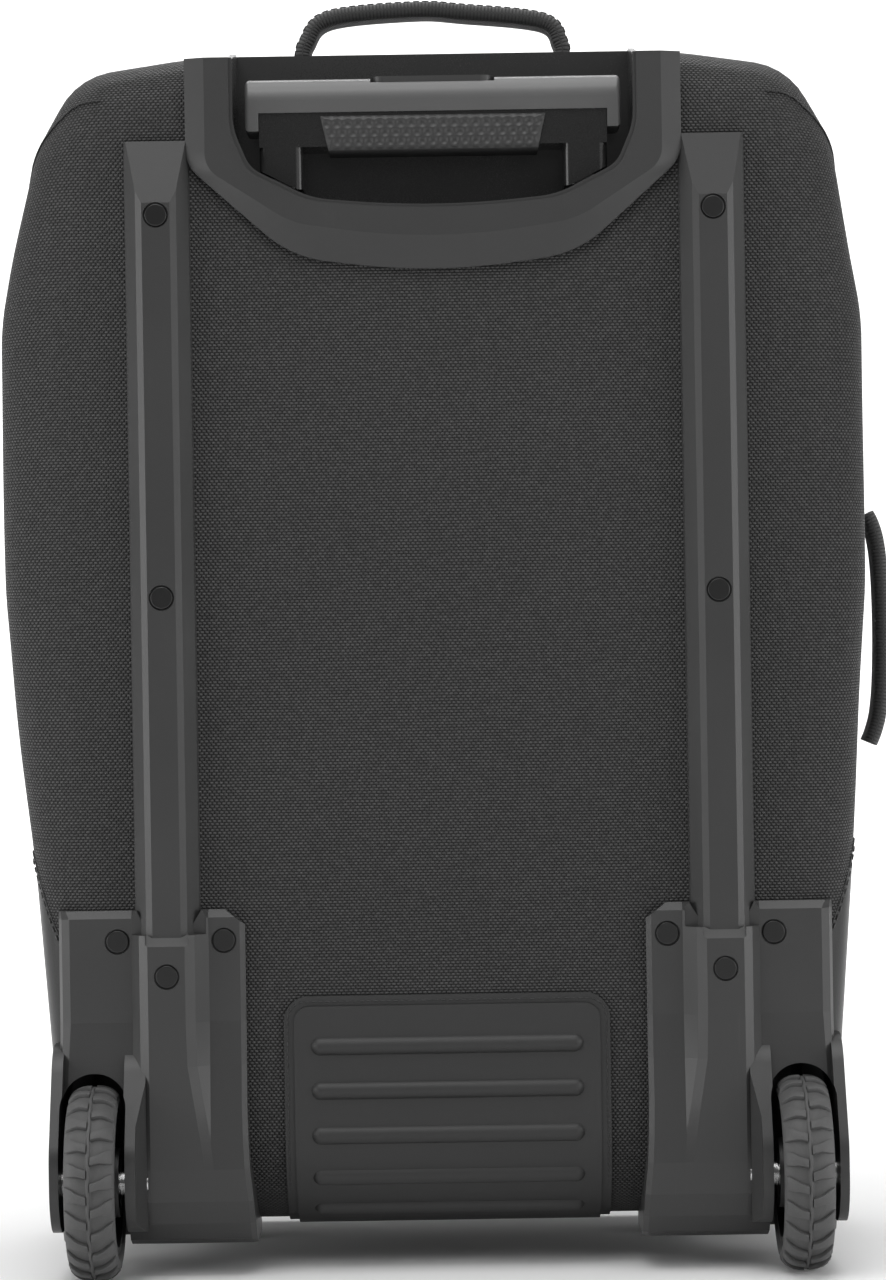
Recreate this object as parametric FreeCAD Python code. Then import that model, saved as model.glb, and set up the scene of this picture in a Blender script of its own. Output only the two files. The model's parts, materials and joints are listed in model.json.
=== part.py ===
"""Wheeled skate bag: a soft case on a hard trolley back, as separate named pieces.

Units are millimetres. The bag is modelled about its own middle plane with X across, Y from the
back panel (Y = 0) towards the lid, and Z up from the floor. save_all() then moves every piece so
that the origin is the bottom centre of the whole bag's box.
"""

import FreeCAD, Part
import math
import os

Vec = FreeCAD.Vector
X_DIR, Y_DIR, Z_DIR = Vec(1, 0, 0), Vec(0, 1, 0), Vec(0, 0, 1)

# ---- soft case ---------------------------------------------------------------------------------
CASE_DEPTH = 190.0        # back panel to lid face
CASE_BOTTOM = 19.0        # underside above the floor
CASE_TOP = 538.0
CASE_HALF_WIDTH = 191.5   # at the widest, above the middle
CASE_FOOT_HALF = 170.0    # half width at the bottom
CASE_EDGE_R = 26.0        # rounding between the faces and the sides
CASE_HEEL_R = 48.0        # larger rounding along the lower back edge
WALL = 3.0                # fabric with its foam
BOARD = 2.0               # stiffener boards
ZIP_Y = 150.0             # plane where the lid parts from the case
ZIP_GAP = 0.2             # each side of that plane
CHAIN_RISE = 1.2          # zip coil above the fabric
CHAIN_WIDTH = 5.0
HINGE_TAPE_RISE = 0.7     # webbing of the lid's hinge above the fabric
HINGE_TAPE_WIDTH = 12.0
HINGE_TAPE_Z = (110.0, 440.0)
LID_AXIS_OUT = 1.2        # lid's hinge line outside the case's side

# ---- trolley handle ------------------------------------------------------------------------------
TUBE_X = 67.0             # tubes' distance from the middle plane
TUBE_Y = 15.0
TUBE_WALL = 1.0
TUBE_CORNER_R = 2.4
INNER_TUBE = (11.0, 9.0)
TUBE_GAP = 0.8            # free space between one stage and the next
OUTER_TUBE_Z = (52.0, 466.0)
MID_TUBE_Z = (56.0, 471.5)
INNER_TUBE_Z = (60.0, 497.0)
STAGE_TRAVEL = 240.0      # each of the two stages
COLLAR_RISE = 5.0
GRIP_HALF = 82.8
GRIP_Y = (1.0, 29.0)
GRIP_Z = (495.7, 526.4)
GRIP_SPLIT_Z = 510.8      # joint between the upper and lower shells
LEG_Z = 477.2             # lowest the legs reach; their feet follow the tray floor
LEG_HALF = 9.6
BUTTON_TRAVEL = 4.0
PIN_TRAVEL = 1.2
PIN_R = 1.6
PIN_Z = 68.0
PIN_REACH = 0.6           # how far a lock pin stands out of its tube

# ---- handle surround -----------------------------------------------------------------------------
BEZEL_TOP = 534.7
BEZEL_OUTER = [(109.0, BEZEL_TOP, 0), (109.0, 488.0, 16), (63.0, 447.0, 50), (0.0, 438.5, 280)]
BEZEL_RIDGE = [(100.3, BEZEL_TOP, 0), (100.3, 486.0, 12), (62.5, 461.5, 40), (0.0, 452.5, 280)]
BEZEL_INNER = [
    (88.0, BEZEL_TOP, 0),
    (88.0, 504.0, 30),
    (80.5, 486.0, 14),
    (53.7, 472.5, 40),
    (0.0, 467.5, 400),
]
BEZEL_EDGE = 2.6          # thickness at the outer edge
BEZEL_RISE = 6.0          # height of the inner band above the back panel
BEZEL_STEP = 1.4          # step down to the lip round the opening
TRAY_DEPTH = 45.0
TRAY_WALL = 2.5
TRAY_LIP_TOP = 542.0

# ---- rails and wheel housings --------------------------------------------------------------------
RAIL_X = 122.0
RAIL_HALF = 14.5
RAIL_TOP = 498.7
RAIL_RAMP_Z = 471.0       # the head's ramp ends here
RAIL_HEIGHT = 10.0
HOUSING_X = (88.0, 170.0)
HOUSING_TOP = 161.0
PLATE_RISE = 5.0
FOOT_RISE = 13.0          # how far the housing stands out near the wheel
SPINE_RISE = 14.0
SPINE_CREST = (113.8, 130.3)
SPINE_FOOT = (104.0, 137.8)
HOUSING_BACK = 46.0
WELL_X = (140.4, 169.2)
WELL_TOP = 90.0
WELL_FRONT = 37.5
WELL_WALL = 2.5
EAR_OUTER_X = 173.2
EAR_INNER_X = 132.0
EAR_R = 21.6

# ---- wheels --------------------------------------------------------------------------------------
WHEEL_X = 154.8
WHEEL_Y = -9.0
WHEEL_R = 42.5
WHEEL_HALF = 11.0
RIM_R = 31.0
BEARING_R = 11.0
BEARING_WIDTH = 7.0
AXLE_R = 3.95
BORE_R = 4.0

# ---- fasteners -----------------------------------------------------------------------------------
RIVET_HEAD_R = 5.0
RIVET_SEAT_R = 5.6
RIVET_SHANK_R = 2.0
RIVET_HEAD = 1.6
RAIL_RIVET_Z = (465.6, 298.0)
HOUSING_RIVETS = [(97.3, 147.5, PLATE_RISE), (144.0, 147.5, PLATE_RISE), (RAIL_X, 132.5, SPINE_RISE)]

# ---- kick plate ----------------------------------------------------------------------------------
KICK_HALF = 71.7
KICK_TOP = 122.0
KICK_THICK = 2.6
KICK_BORDER = 1.3         # thin edge that the stitching goes through
KICK_SEAM = 4.4           # width of that edge
KICK_REACH = 62.0         # how far it wraps under the case
RIB_HALF = 60.3
RIB_R = 4.3
RIB_SUNK = 1.8            # rib centre below the plate's surface
RIB_FIRST_Z = 100.0
RIB_PITCH = 19.5
RIB_COUNT = 5

# ---- lid pocket, straps and feet -----------------------------------------------------------------
POCKET_HALF = 140.0
POCKET_Z = (70.0, 330.0)
POCKET_DEPTH = 12.0
POCKET_SKIN = 2.5
POCKET_CORNER_R = 20.0
STRAP_Y = 85.0
STRAP_HALF = 11.0         # half the webbing's width
TOP_STRAP_AXIS_Z = 544.2
TOP_STRAP_REACH_Z = 571.2
TOP_STRAP_SPAN = 64.0
TOP_STRAP_THICK = 7.0
SIDE_STRAP_AXIS_X = 195.4
SIDE_STRAP_Z = 280.0
SIDE_STRAP_REACH = 206.0
SIDE_STRAP_SPAN = 56.0
SIDE_STRAP_THICK = 6.0
TAB_THICK = 2.5
FOOT_X = 112.0
FOOT_Y = 118.0

# ---- zip sliders ---------------------------------------------------------------------------------
SLIDER_X = 8.0            # each main slider's distance from the middle plane
SLIDER_LIFT = 0.3
PULL_LENGTH = 30.0
POCKET_SLIDER = (146.0, 90.0)

# ---- the whole bag's box, which sets the origin --------------------------------------------------
BOX_X = (-(CASE_HALF_WIDTH + HINGE_TAPE_RISE), SIDE_STRAP_REACH)
BOX_Y = (WHEEL_Y - WHEEL_R, CASE_DEPTH + POCKET_DEPTH)
ORIGIN = Vec(sum(BOX_X) / 2, sum(BOX_Y) / 2, 0)


# ---- drawing helpers -----------------------------------------------------------------------------
def rounded_wire(points, to_3d):
    """A closed wire through (a, b, corner radius) points, with a tangent arc at each rounded corner."""
    count = len(points)
    starts, arcs = [], []
    for i in range(count):
        a, b, radius = points[i]
        here = Vec(a, b, 0)
        before = Vec(points[i - 1][0], points[i - 1][1], 0) - here
        after = Vec(points[(i + 1) % count][0], points[(i + 1) % count][1], 0) - here
        turn = math.pi - before.getAngle(after)
        if radius <= 0 or turn < 1e-4:
            starts.append((here, here))
            arcs.append(None)
            continue
        before.normalize()
        after.normalize()
        reach = radius * math.tan(turn / 2)
        begin, end = here + before * reach, here + after * reach
        inward = before + after
        inward.normalize()
        middle = here + inward * (radius / math.cos(turn / 2) - radius)
        starts.append((begin, end))
        arcs.append(Part.Arc(to_3d(begin), to_3d(middle), to_3d(end)).toShape())
    edges = []
    for i in range(count):
        if arcs[i] is not None:
            edges.append(arcs[i])
        leave, arrive = starts[i][1], starts[(i + 1) % count][0]
        if (arrive - leave).Length > 1e-4:
            edges.append(Part.makeLine(to_3d(leave), to_3d(arrive)))
    return Part.Wire(edges)


def with_radii(points):
    """Points given as (a, b) or (a, b, radius), all with a radius."""
    return [(p[0], p[1], p[2] if len(p) > 2 else 0) for p in points]


def front_wire(points, y):
    """A wire of (x, z, radius) points in the plane at y."""
    return rounded_wire(with_radii(points), lambda p: Vec(p.x, y, p.y))


def prism_y(points, y0, y1):
    """A front view outline of (x, z) or (x, z, radius) points, from y0 to y1."""
    return Part.Face(front_wire(points, y0)).extrude(Vec(0, y1 - y0, 0))


def prism_x(points, x0, x1):
    """A side view outline of (y, z) or (y, z, radius) points, from x0 to x1."""
    wire = rounded_wire(with_radii(points), lambda p: Vec(x0, p.x, p.y))
    return Part.Face(wire).extrude(Vec(x1 - x0, 0, 0))


def prism_z(points, z0, z1):
    """A plan outline of (x, y) or (x, y, radius) points, from z0 to z1."""
    wire = rounded_wire(with_radii(points), lambda p: Vec(p.x, p.y, z0))
    return Part.Face(wire).extrude(Vec(0, 0, z1 - z0))


def rect(a0, a1, b0, b1, radius=0):
    """A rectangle's outline with rounded corners."""
    return [(a0, b0, radius), (a1, b0, radius), (a1, b1, radius), (a0, b1, radius)]


def box(x0, x1, y0, y1, z0, z1):
    """A box between two corners."""
    return Part.makeBox(x1 - x0, y1 - y0, z1 - z0, Vec(x0, y0, z0))


def rod_x(radius, x0, x1, y, z):
    """A cylinder along X."""
    return Part.makeCylinder(radius, x1 - x0, Vec(x0, y, z), X_DIR)


def rod_y(radius, y0, y1, x, z):
    """A cylinder along Y."""
    return Part.makeCylinder(radius, y1 - y0, Vec(x, y0, z), Y_DIR)


def mirrored(shape):
    """The same shape on the other side of the middle plane."""
    return shape.mirror(Vec(0, 0, 0), X_DIR)


def both_sides(shape):
    """A shape and its mirror image, as separate solids."""
    return group([shape, mirrored(shape)])


def group(shapes):
    """Separate solids in one compound."""
    solids = []
    for shape in shapes:
        solids.extend(shape.Solids)
    return Part.Compound(solids)


def fuse(shapes):
    """One solid made from shapes that meet."""
    return shapes[0].multiFuse(shapes[1:]).removeSplitter()


def two_halves(half_points):
    """A closed outline from its right half's points, top to bottom, the last on the middle plane."""
    left = [(-x, z, r) for x, z, r in reversed(half_points) if x > 0]
    return list(half_points) + left


# ---- soft case -----------------------------------------------------------------------------------
def case_outline():
    """The case seen from behind: narrow at the foot, widest above the middle, with sloped shoulders."""
    half = [
        (110.0, CASE_TOP, 80),
        (158.0, CASE_TOP - 7.0, 32),
        (177.0, 498.0, 60),
        (CASE_HALF_WIDTH, 420.0, 120),
        (CASE_HALF_WIDTH, 300.0, 250),
        (CASE_FOOT_HALF, CASE_BOTTOM, 40),
    ]
    return half + [(-x, z, r) for x, z, r in reversed(half)]


def case_prism(grow, y0, y1):
    """The case's outline, grown outwards, between two depths."""
    wire = front_wire(case_outline(), y0)
    if grow:
        wire = wire.makeOffset2D(grow)
    return Part.Face(wire).extrude(Vec(0, y1 - y0, 0))


def rounded_case(inset):
    """The whole soft case with rounded faces, inset evenly on all sides."""
    solid = case_prism(-inset, inset, CASE_DEPTH - inset)
    faces = [f for f in solid.Faces if abs(abs(f.normalAt(0, 0).y) - 1) < 1e-6]
    edges = [e for f in faces for e in f.Edges]
    rounded = solid.makeFillet(CASE_EDGE_R - inset, edges)
    low, high = CASE_BOTTOM + inset, CASE_TOP + 50
    heel = [(inset, high), (inset, low, CASE_HEEL_R - inset), (CASE_DEPTH, low), (CASE_DEPTH, high)]
    return rounded.common(prism_x(heel, -2 * CASE_HALF_WIDTH, 2 * CASE_HALF_WIDTH))


def wall_cutters():
    """Wedges that part the ring of side walls at its four corners: left, right, top, bottom."""
    y0, y1 = -50.0, CASE_DEPTH + 50.0
    corner_x, top_z, bottom_z = 100.0, 460.0, 112.0
    far = 600.0
    low, high = bottom_z - far + corner_x, top_z + far - corner_x
    right = [(corner_x, bottom_z), (far, low), (far, high), (corner_x, top_z)]
    top = [(-corner_x, top_z), (corner_x, top_z), (far, high), (-far, high)]
    bottom = [(-corner_x, bottom_z), (corner_x, bottom_z), (far, low), (-far, low)]
    side = prism_y(right, y0, y1)
    return {
        "left": mirrored(side),
        "right": side,
        "top": prism_y(top, y0, y1),
        "bottom": prism_y(bottom, y0, y1),
    }


def case_panels():
    """The case's sewn panels: back, four gussets, and the lid's face and its ring of gusset."""
    skin = rounded_case(0).cut(rounded_case(WALL))
    below_flat = box(-300, 300, -2, WALL + 1, 0, CASE_BOTTOM + CASE_HEEL_R + 2)
    flat_back = case_prism(-(CASE_EDGE_R + 4), -1, WALL).cut(below_flat)
    flat_front = case_prism(-(CASE_EDGE_R + 4), CASE_DEPTH - WALL, CASE_DEPTH + 1)
    back = skin.common(flat_back)
    face = skin.common(flat_front)
    walls = skin.cut(flat_back).cut(flat_front)
    case_half = box(-300, 300, -1, ZIP_Y - ZIP_GAP, 0, 600)
    lid_half = box(-300, 300, ZIP_Y + ZIP_GAP, 300, 0, 600)
    cutters = wall_cutters()
    gussets = {side: walls.common(case_half).common(c) for side, c in cutters.items()}
    lid_ring = [walls.common(lid_half).common(c) for c in cutters.values()]
    return back, gussets, face, group(lid_ring)


def zip_chain(y0, y1):
    """Half of the main zip: a raised strip round the case, open along the hinge side."""
    ring = case_prism(CHAIN_RISE, y0, y1).cut(case_prism(0, y0 - 1, y1 + 1))
    return ring.cut(box(-400, -150, y0 - 1, y1 + 1, 0, 600))


def hinge_tape():
    """The strip of webbing that the lid turns on, sewn down the case's left side."""
    ring = case_prism(HINGE_TAPE_RISE, ZIP_Y - HINGE_TAPE_WIDTH, ZIP_Y - ZIP_GAP)
    ring = ring.cut(case_prism(0, 0, CASE_DEPTH))
    return ring.common(box(-300, -150, 0, 300, *HINGE_TAPE_Z))


def back_board():
    """Stiffener behind the back panel."""
    return box(-148, 148, WALL, WALL + BOARD, CASE_BOTTOM + CASE_HEEL_R, 490)


def base_board():
    """Stiff floor of the main compartment."""
    low = CASE_BOTTOM + WALL + 0.1
    return box(-126, 126, CASE_HEEL_R + 2, ZIP_Y - 6, low, low + BOARD)


def tube_lining():
    """Lining panel that covers the trolley tubes inside the compartment."""
    outline = [(132, 40), (132, 98), (158, 98), (158, 462), (-158, 462), (-158, 98), (-132, 98), (-132, 40)]
    return prism_y(outline, 25.0, 26.5)


# ---- handle surround -----------------------------------------------------------------------------
def handle_bezel():
    """Moulded frame round the handle recess: a sloped outer band, a flat inner one and a stepped lip."""
    base = prism_y(two_halves(BEZEL_OUTER), -BEZEL_EDGE, 0)
    wires = [
        front_wire(two_halves(BEZEL_OUTER), -BEZEL_EDGE),
        front_wire(two_halves(BEZEL_RIDGE), -BEZEL_RISE),
    ]
    slope = Part.makeLoft(wires, True, True)
    opening = prism_y(two_halves(BEZEL_INNER), -BEZEL_RISE - 1, 1)
    step = prism_y(inset_half(BEZEL_INNER, -1.4), -BEZEL_RISE - 1, BEZEL_STEP - BEZEL_RISE)
    return fuse([base, slope]).cut(opening).cut(step)


def inset_half(points, inset, top=BEZEL_TOP):
    """A symmetric outline moved inwards at its sides and foot, open at the top."""
    half = [(x - (inset if x > 0 else 0), z + (inset if r else 0), r) for x, z, r in points]
    half[0] = (half[0][0], top, 0)
    return two_halves(half)


def tray_block(grow, y0, y1, top):
    """The handle recess as a block, grown by a wall thickness."""
    return prism_y(inset_half(BEZEL_INNER, -grow, top), y0, y1)


def recess_tray():
    """Open-topped tray that the grip parks in, with a finger dish behind the grip."""
    shell = tray_block(TRAY_WALL, 0, TRAY_DEPTH + TRAY_WALL, TRAY_LIP_TOP)
    shell = shell.cut(tray_block(0, -1, TRAY_DEPTH, TRAY_LIP_TOP + 5))
    slope = [(-1, BEZEL_TOP), (TRAY_DEPTH - 8, TRAY_LIP_TOP), (TRAY_DEPTH - 8, 600), (-1, 600)]
    shell = shell.cut(prism_x(slope, -200, 200))
    for x in (-TUBE_X, TUBE_X):
        shell = shell.cut(tube_blank(collar_size(2), x, 440, 500, -0.3))
    return shell


# ---- trolley tubes -------------------------------------------------------------------------------
def outer_size(stage):
    """Outside (x, y) size of a tube: stage 0 is the inner one, 1 the middle one, 2 the outer one."""
    step = 2 * (TUBE_GAP + TUBE_WALL) * stage
    return INNER_TUBE[0] + step, INNER_TUBE[1] + step


def collar_size(stage):
    """Outside (x, y) size of the bush that caps a tube."""
    width, depth = outer_size(stage)
    return width + 2.4, depth + 2.4


def tube_blank(size, x, z0, z1, shrink):
    """A solid bar with rounded corners, centred on a tube's axis."""
    half_x, half_y = size[0] / 2 - shrink, size[1] / 2 - shrink
    radius = max(TUBE_CORNER_R - shrink, 0.5)
    return prism_z(rect(x - half_x, x + half_x, TUBE_Y - half_y, TUBE_Y + half_y, radius), z0, z1)


def tube(stage, side, z_range):
    """One hollow tube."""
    x = side * TUBE_X
    blank = tube_blank(outer_size(stage), x, z_range[0], z_range[1], 0)
    return blank.cut(tube_blank(outer_size(stage), x, z_range[0] - 1, z_range[1] + 1, TUBE_WALL))


def detent_lips(side):
    """Low lips inside the middle tube, just above and below the lock pin at both ends of its travel."""
    x_wall = TUBE_X + outer_size(1)[0] / 2 - TUBE_WALL
    lips = []
    for pin_z in (PIN_Z, PIN_Z + STAGE_TRAVEL):
        for sign in (-1, 1):
            z = pin_z + sign * (PIN_R + 1.4)
            lips.append(box(x_wall - 0.5, x_wall + 0.2, TUBE_Y - 3, TUBE_Y + 3, z - 0.6, z + 0.6))
    return [lip if side > 0 else mirrored(lip) for lip in lips]


def mid_tube(side):
    """Middle tube with the lips that its lock pin clicks between."""
    return fuse([tube(1, side, MID_TUBE_Z)] + detent_lips(side))


def inner_tube(side):
    """Inner tube with a hole for its lock pin."""
    hole = rod_x(PIN_R + 0.1, TUBE_X, TUBE_X + 10, TUBE_Y, PIN_Z)
    return tube(0, side, INNER_TUBE_Z).cut(hole if side > 0 else mirrored(hole))


def collars(stage, z_tube_top, skirt):
    """Guide bushes that cap a stage's tubes and steady the next stage."""
    made = []
    for x in (-TUBE_X, TUBE_X):
        cap = tube_blank(collar_size(stage), x, z_tube_top, z_tube_top + COLLAR_RISE, 0)
        lining = tube_blank(outer_size(stage), x, z_tube_top - skirt, z_tube_top, TUBE_WALL + 0.02)
        bush = fuse([cap, lining])
        low, high = z_tube_top - skirt - 1, z_tube_top + COLLAR_RISE + 1
        bore = tube_blank(outer_size(stage - 1), x, low, high, -0.3)
        made.append(bush.cut(bore))
    return group(made)


def tube_foot_bracket():
    """Clamp at the foot of the outer tubes."""
    near, low, high = WALL + BOARD, CASE_BOTTOM + CASE_HEEL_R + 1, CASE_BOTTOM + CASE_HEEL_R + 21
    half = TUBE_X + 15
    block = prism_z([(-half, near), (half, near), (half, 24.5, 3), (-half, 24.5, 3)], low, high)
    for x in (-TUBE_X, TUBE_X):
        block = block.cut(tube_blank(outer_size(2), x, low - 1, high + 1, 0))
    return block.cut(box(30 - half, half - 30, near + 4, 30, low - 1, high + 1))


# ---- grip, button and lock -----------------------------------------------------------------------
def grip_blank(z0, z1, inset):
    """The grip's bar between two heights, rounded along its top."""
    section = [
        (GRIP_Y[0] + inset, z0),
        (GRIP_Y[1] - inset, z0),
        (GRIP_Y[1] - inset, z1, 10 if z1 >= GRIP_Z[1] else 0),
        (GRIP_Y[0] + inset, z1, 10 if z1 >= GRIP_Z[1] else 0),
    ]
    return prism_x(section, -GRIP_HALF + inset, GRIP_HALF - inset)


def button_slot(clear):
    """Space of the release button and its stem, with clearance."""
    cap = box(-27 - clear, 27 + clear, 5 - clear, 25 + clear, 521 - clear - BUTTON_TRAVEL, 530)
    stem = box(-5 - clear, 5 + clear, 11 - clear, 19 + clear, 505, 523)
    return fuse([cap, stem])


def yoke_space():
    """Room inside the grip for the yoke that the button pushes."""
    return box(-TUBE_X - 4, TUBE_X + 4, 10, 20, 498.5, 509)


def grip_upper_shell():
    """Upper half of the grip, with a leg down each end."""
    bar = grip_blank(GRIP_SPLIT_Z, GRIP_Z[1], 0)
    leg = box(GRIP_HALF - 6, GRIP_HALF, GRIP_Y[0], GRIP_Y[1], GRIP_SPLIT_Z - 8, GRIP_SPLIT_Z + 4)
    shell = fuse([bar, leg, mirrored(leg)])
    ends = [f for f in shell.Faces if abs(f.BoundBox.XMin) > GRIP_HALF - 0.01 and f.BoundBox.XLength < 1e-3]
    shell = shell.makeFillet(2.0, [e for f in ends for e in f.Edges])
    return shell.cut(button_slot(0.4)).cut(yoke_space())


def grip_lower_shell():
    """Lower half of the grip, with the legs that hold the inner tubes."""
    bar = box(-GRIP_HALF + 6.2, GRIP_HALF - 6.2, GRIP_Y[0] + 1, GRIP_Y[1] - 1, GRIP_Z[0], GRIP_SPLIT_Z)
    outline = rect(TUBE_X - LEG_HALF, TUBE_X + LEG_HALF, GRIP_Y[0] + 1, GRIP_Y[1] - 1, 3.5)
    leg = prism_z(outline, LEG_Z, GRIP_Z[0]).common(prism_y(inset_half(BEZEL_INNER, 1.0, 600), -5, 60))
    shell = fuse([bar, leg, mirrored(leg)]).cut(yoke_space())
    for x in (-TUBE_X, TUBE_X):
        shell = shell.cut(tube_blank(outer_size(0), x, LEG_Z - 1, INNER_TUBE_Z[1], 0))
        shell = shell.cut(box(x - 4.5, x + 4.5, TUBE_Y - 3.5, TUBE_Y + 3.5, INNER_TUBE_Z[1] - 1, 505))
    return shell.cut(button_slot(0.4))


def grip_pad(lower_shell):
    """Soft insert wrapped under the grip's middle."""
    around = box(-49.7, 49.7, GRIP_Y[0] - 0.8, GRIP_Y[1] + 0.8, GRIP_Z[0] - 1.8, GRIP_SPLIT_Z - 1.5)
    return around.cut(box(-60, 60, GRIP_Y[0] + 1, GRIP_Y[1] - 1, GRIP_Z[0], 520)).cut(lower_shell)


def release_button():
    """Push button in the top of the grip, with its stem."""
    cap = prism_z(rect(-27, 27, 5, 25, 6), 521, GRIP_Z[1] + 0.4)
    stem = box(-5, 5, 11, 19, 507.2, 521)
    return fuse([cap, stem])


def push_rods():
    """Yoke and two rods that carry the button's push down to the lock pins."""
    yoke = box(-TUBE_X - 2.8, TUBE_X + 2.8, 13, 17, 503.5, 507.2)
    low = PIN_Z + 6
    rods = [Part.makeCylinder(1.5, 503.5 - low, Vec(x, TUBE_Y, low), Z_DIR) for x in (-TUBE_X, TUBE_X)]
    return fuse([yoke] + rods)


def lock_plugs():
    """Plugs in the feet of the inner tubes that the lock pins slide in."""
    plug = tube_blank(outer_size(0), TUBE_X, INNER_TUBE_Z[0], PIN_Z + 3, TUBE_WALL)
    bore = rod_x(PIN_R + 0.05, TUBE_X - 3.2, TUBE_X + 10, TUBE_Y, PIN_Z)
    channel = Part.makeCylinder(2.2, 10, Vec(TUBE_X, TUBE_Y, PIN_Z), Z_DIR)
    return both_sides(plug.cut(bore).cut(channel))


def lock_pin(side):
    """Pin that holds a stage at either end of its travel."""
    tip = TUBE_X + outer_size(0)[0] / 2 + PIN_REACH
    pin = rod_x(PIN_R, TUBE_X - 1.6, tip, TUBE_Y, PIN_Z)
    return pin if side > 0 else mirrored(pin)


# ---- rails, housings and their rivets ------------------------------------------------------------
def rail_section(x):
    """Plan section of a rail: steep flanks, bright chamfers and a flat crest."""
    half = [(RAIL_HALF, 0), (RAIL_HALF - 0.5, -1.5), (9.0, -8.5), (6.2, -RAIL_HEIGHT)]
    return [(x + a, b) for a, b in half] + [(x - a, b) for a, b in reversed(half)]


def rail_blank():
    """The right rail with the ramp on its head, before its foot is trimmed to the housing."""
    bar = prism_z(rail_section(RAIL_X), HOUSING_TOP - 12, RAIL_TOP)
    high = RAIL_TOP + 5
    ramp = [(-2.6, RAIL_TOP), (-RAIL_HEIGHT, RAIL_RAMP_Z), (-30, RAIL_RAMP_Z), (-30, high), (-2.6, high)]
    return bar.cut(prism_x(ramp, RAIL_X - 30, RAIL_X + 30))


def housing_section(z, plate, crest, inner_crest, strip, rim):
    """One plan section of the housing, from its outer back corner round to its inner one.

    plate and crest are the depths of the plate and of the spine's crest, inner_crest is where the
    spine's inner chamfer starts, strip is the width of the rounded outer corner and rim the inner edge.
    """
    inner, outer = HOUSING_X
    slope = min(plate, crest + 2.5)
    points = [
        (outer, HOUSING_BACK),
        (outer, plate + strip),
        (outer - 0.3 * strip, plate + 0.3 * strip),
        (outer - strip, plate),
        (SPINE_FOOT[1], plate),
        (SPINE_CREST[1] + 3.8, slope),
        (SPINE_CREST[1], crest),
        (inner_crest, crest),
        (inner_crest - 4.2, slope),
        (min(SPINE_FOOT[0], inner_crest - 4.4), plate),
        (rim + 2.3, plate),
        (rim, plate + 2.3),
        (rim, HOUSING_BACK),
    ]
    return Part.makePolygon([Vec(x, y, z) for x, y in points + points[:1]])


def housing_plate():
    """Back wall of the right wheel housing: flat plates each side of a spine, thick near the wheel."""
    inner = HOUSING_X[0]
    foot, crest = -FOOT_RISE - 0.6, -SPINE_RISE
    stations = [
        (HOUSING_TOP, -PLATE_RISE + 3.2, crest + 3.2, 114.0, 3.0, inner + 1.5),
        (HOUSING_TOP - 3.4, -PLATE_RISE, crest, 114.0, 5.0, inner),
        (112, -PLATE_RISE, crest, 114.0, 5.0, inner),
        (93, -PLATE_RISE - 1.6, crest, 113.5, 4.0, inner),
        (76, -PLATE_RISE - 4.6, crest, 110.8, 3.4, inner),
        (60, -PLATE_RISE - 7.4, crest, 108.3, 3.0, inner - 0.4),
        (48, foot, crest, 106.8, 3.0, inner - 1.0),
        (34, foot + 0.6, foot + 0.4, 106.0, 3.0, inner - 2.4),
        (24, foot + 5.0, foot + 4.8, 106.0, 3.0, inner - 3.0),
        (16, foot + 13.0, foot + 12.8, 106.0, 3.0, inner - 3.2),
        (13, foot + 22.0, foot + 21.8, 106.0, 3.0, inner - 3.2),
    ]
    body = Part.makeLoft([housing_section(*station) for station in stations], True, True)
    shoulder = [(inner - 5, 150.5), (inner - 5, 170), (97, 170), (97, HOUSING_TOP)]
    notch = [(135.7, HOUSING_TOP + 0.5), (130.3, 150.5), (113.4, 150.5), (106.7, HOUSING_TOP + 0.5)]
    body = body.cut(prism_y(shoulder, -40, 80)).cut(prism_y(notch, -PLATE_RISE - 12, 10))
    head = [(-SPINE_RISE - 1, 144.8), (-PLATE_RISE - 3.5, 150.6), (-40, 150.6), (-40, 144.8)]
    above = box(RAIL_X - 17, RAIL_X + 17, -40, -PLATE_RISE - 0.2, 150.5, 180)
    flank = [(-PLATE_RISE, 162), (-SPINE_RISE - 1, 150), (-40, 150), (-40, 162)]
    return body.cut(prism_x(head, 112.4, 131.3)).cut(above).cut(prism_x(flank, 80, 160))


def ear(x0, x1):
    """One of the two lobes that hold the axle."""
    side = [
        (WHEEL_Y - EAR_R, WHEEL_R - EAR_R, EAR_R * 0.98),
        (WHEEL_Y - EAR_R, WHEEL_R + 14, 18),
        (-6, 102, 20),
        (12, 102),
        (40, 70),
        (40, WHEEL_R - EAR_R + 1, 6),
    ]
    return prism_x(side, x0, x1)


def well(grow):
    """Arched space round the wheel, grown by a wall thickness."""
    x0, x1, top = WELL_X[0] - grow, WELL_X[1] + grow, WELL_TOP + grow
    radius = (x1 - x0) / 2 - 0.2
    arch = [(x0, -5), (x1, -5), (x1, top, radius), (x0, top, radius)]
    return prism_y(arch, -70 if grow == 0 else 0, WELL_FRONT + grow)


def wheel_housing(case_solid):
    """Right wheel housing: plate, spine, wheel well and ears as one moulding, trimmed to the case."""
    inner_ear = ear(EAR_INNER_X, WELL_X[0] + 1)
    bevel = [(EAR_INNER_X - 1, -12), (EAR_INNER_X - 1, -50), (WELL_X[0] - 4.5, -50), (WELL_X[0] - 4.5, -24)]
    inner_ear = inner_ear.cut(prism_z(bevel, 0, 130)).cut(box(120, 150, -5, 60, 0, 130))
    outer_ear = ear(WELL_X[1] - 1, EAR_OUTER_X)
    well_shell = well(WELL_WALL).common(box(120, 200, 0, 60, 20, 120))
    soft = case_solid.cut(well_corner())
    moulding = fuse([housing_plate().cut(soft), inner_ear, outer_ear, well_shell])
    moulding = moulding.cut(well(0)).cut(soft)
    return moulding


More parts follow.
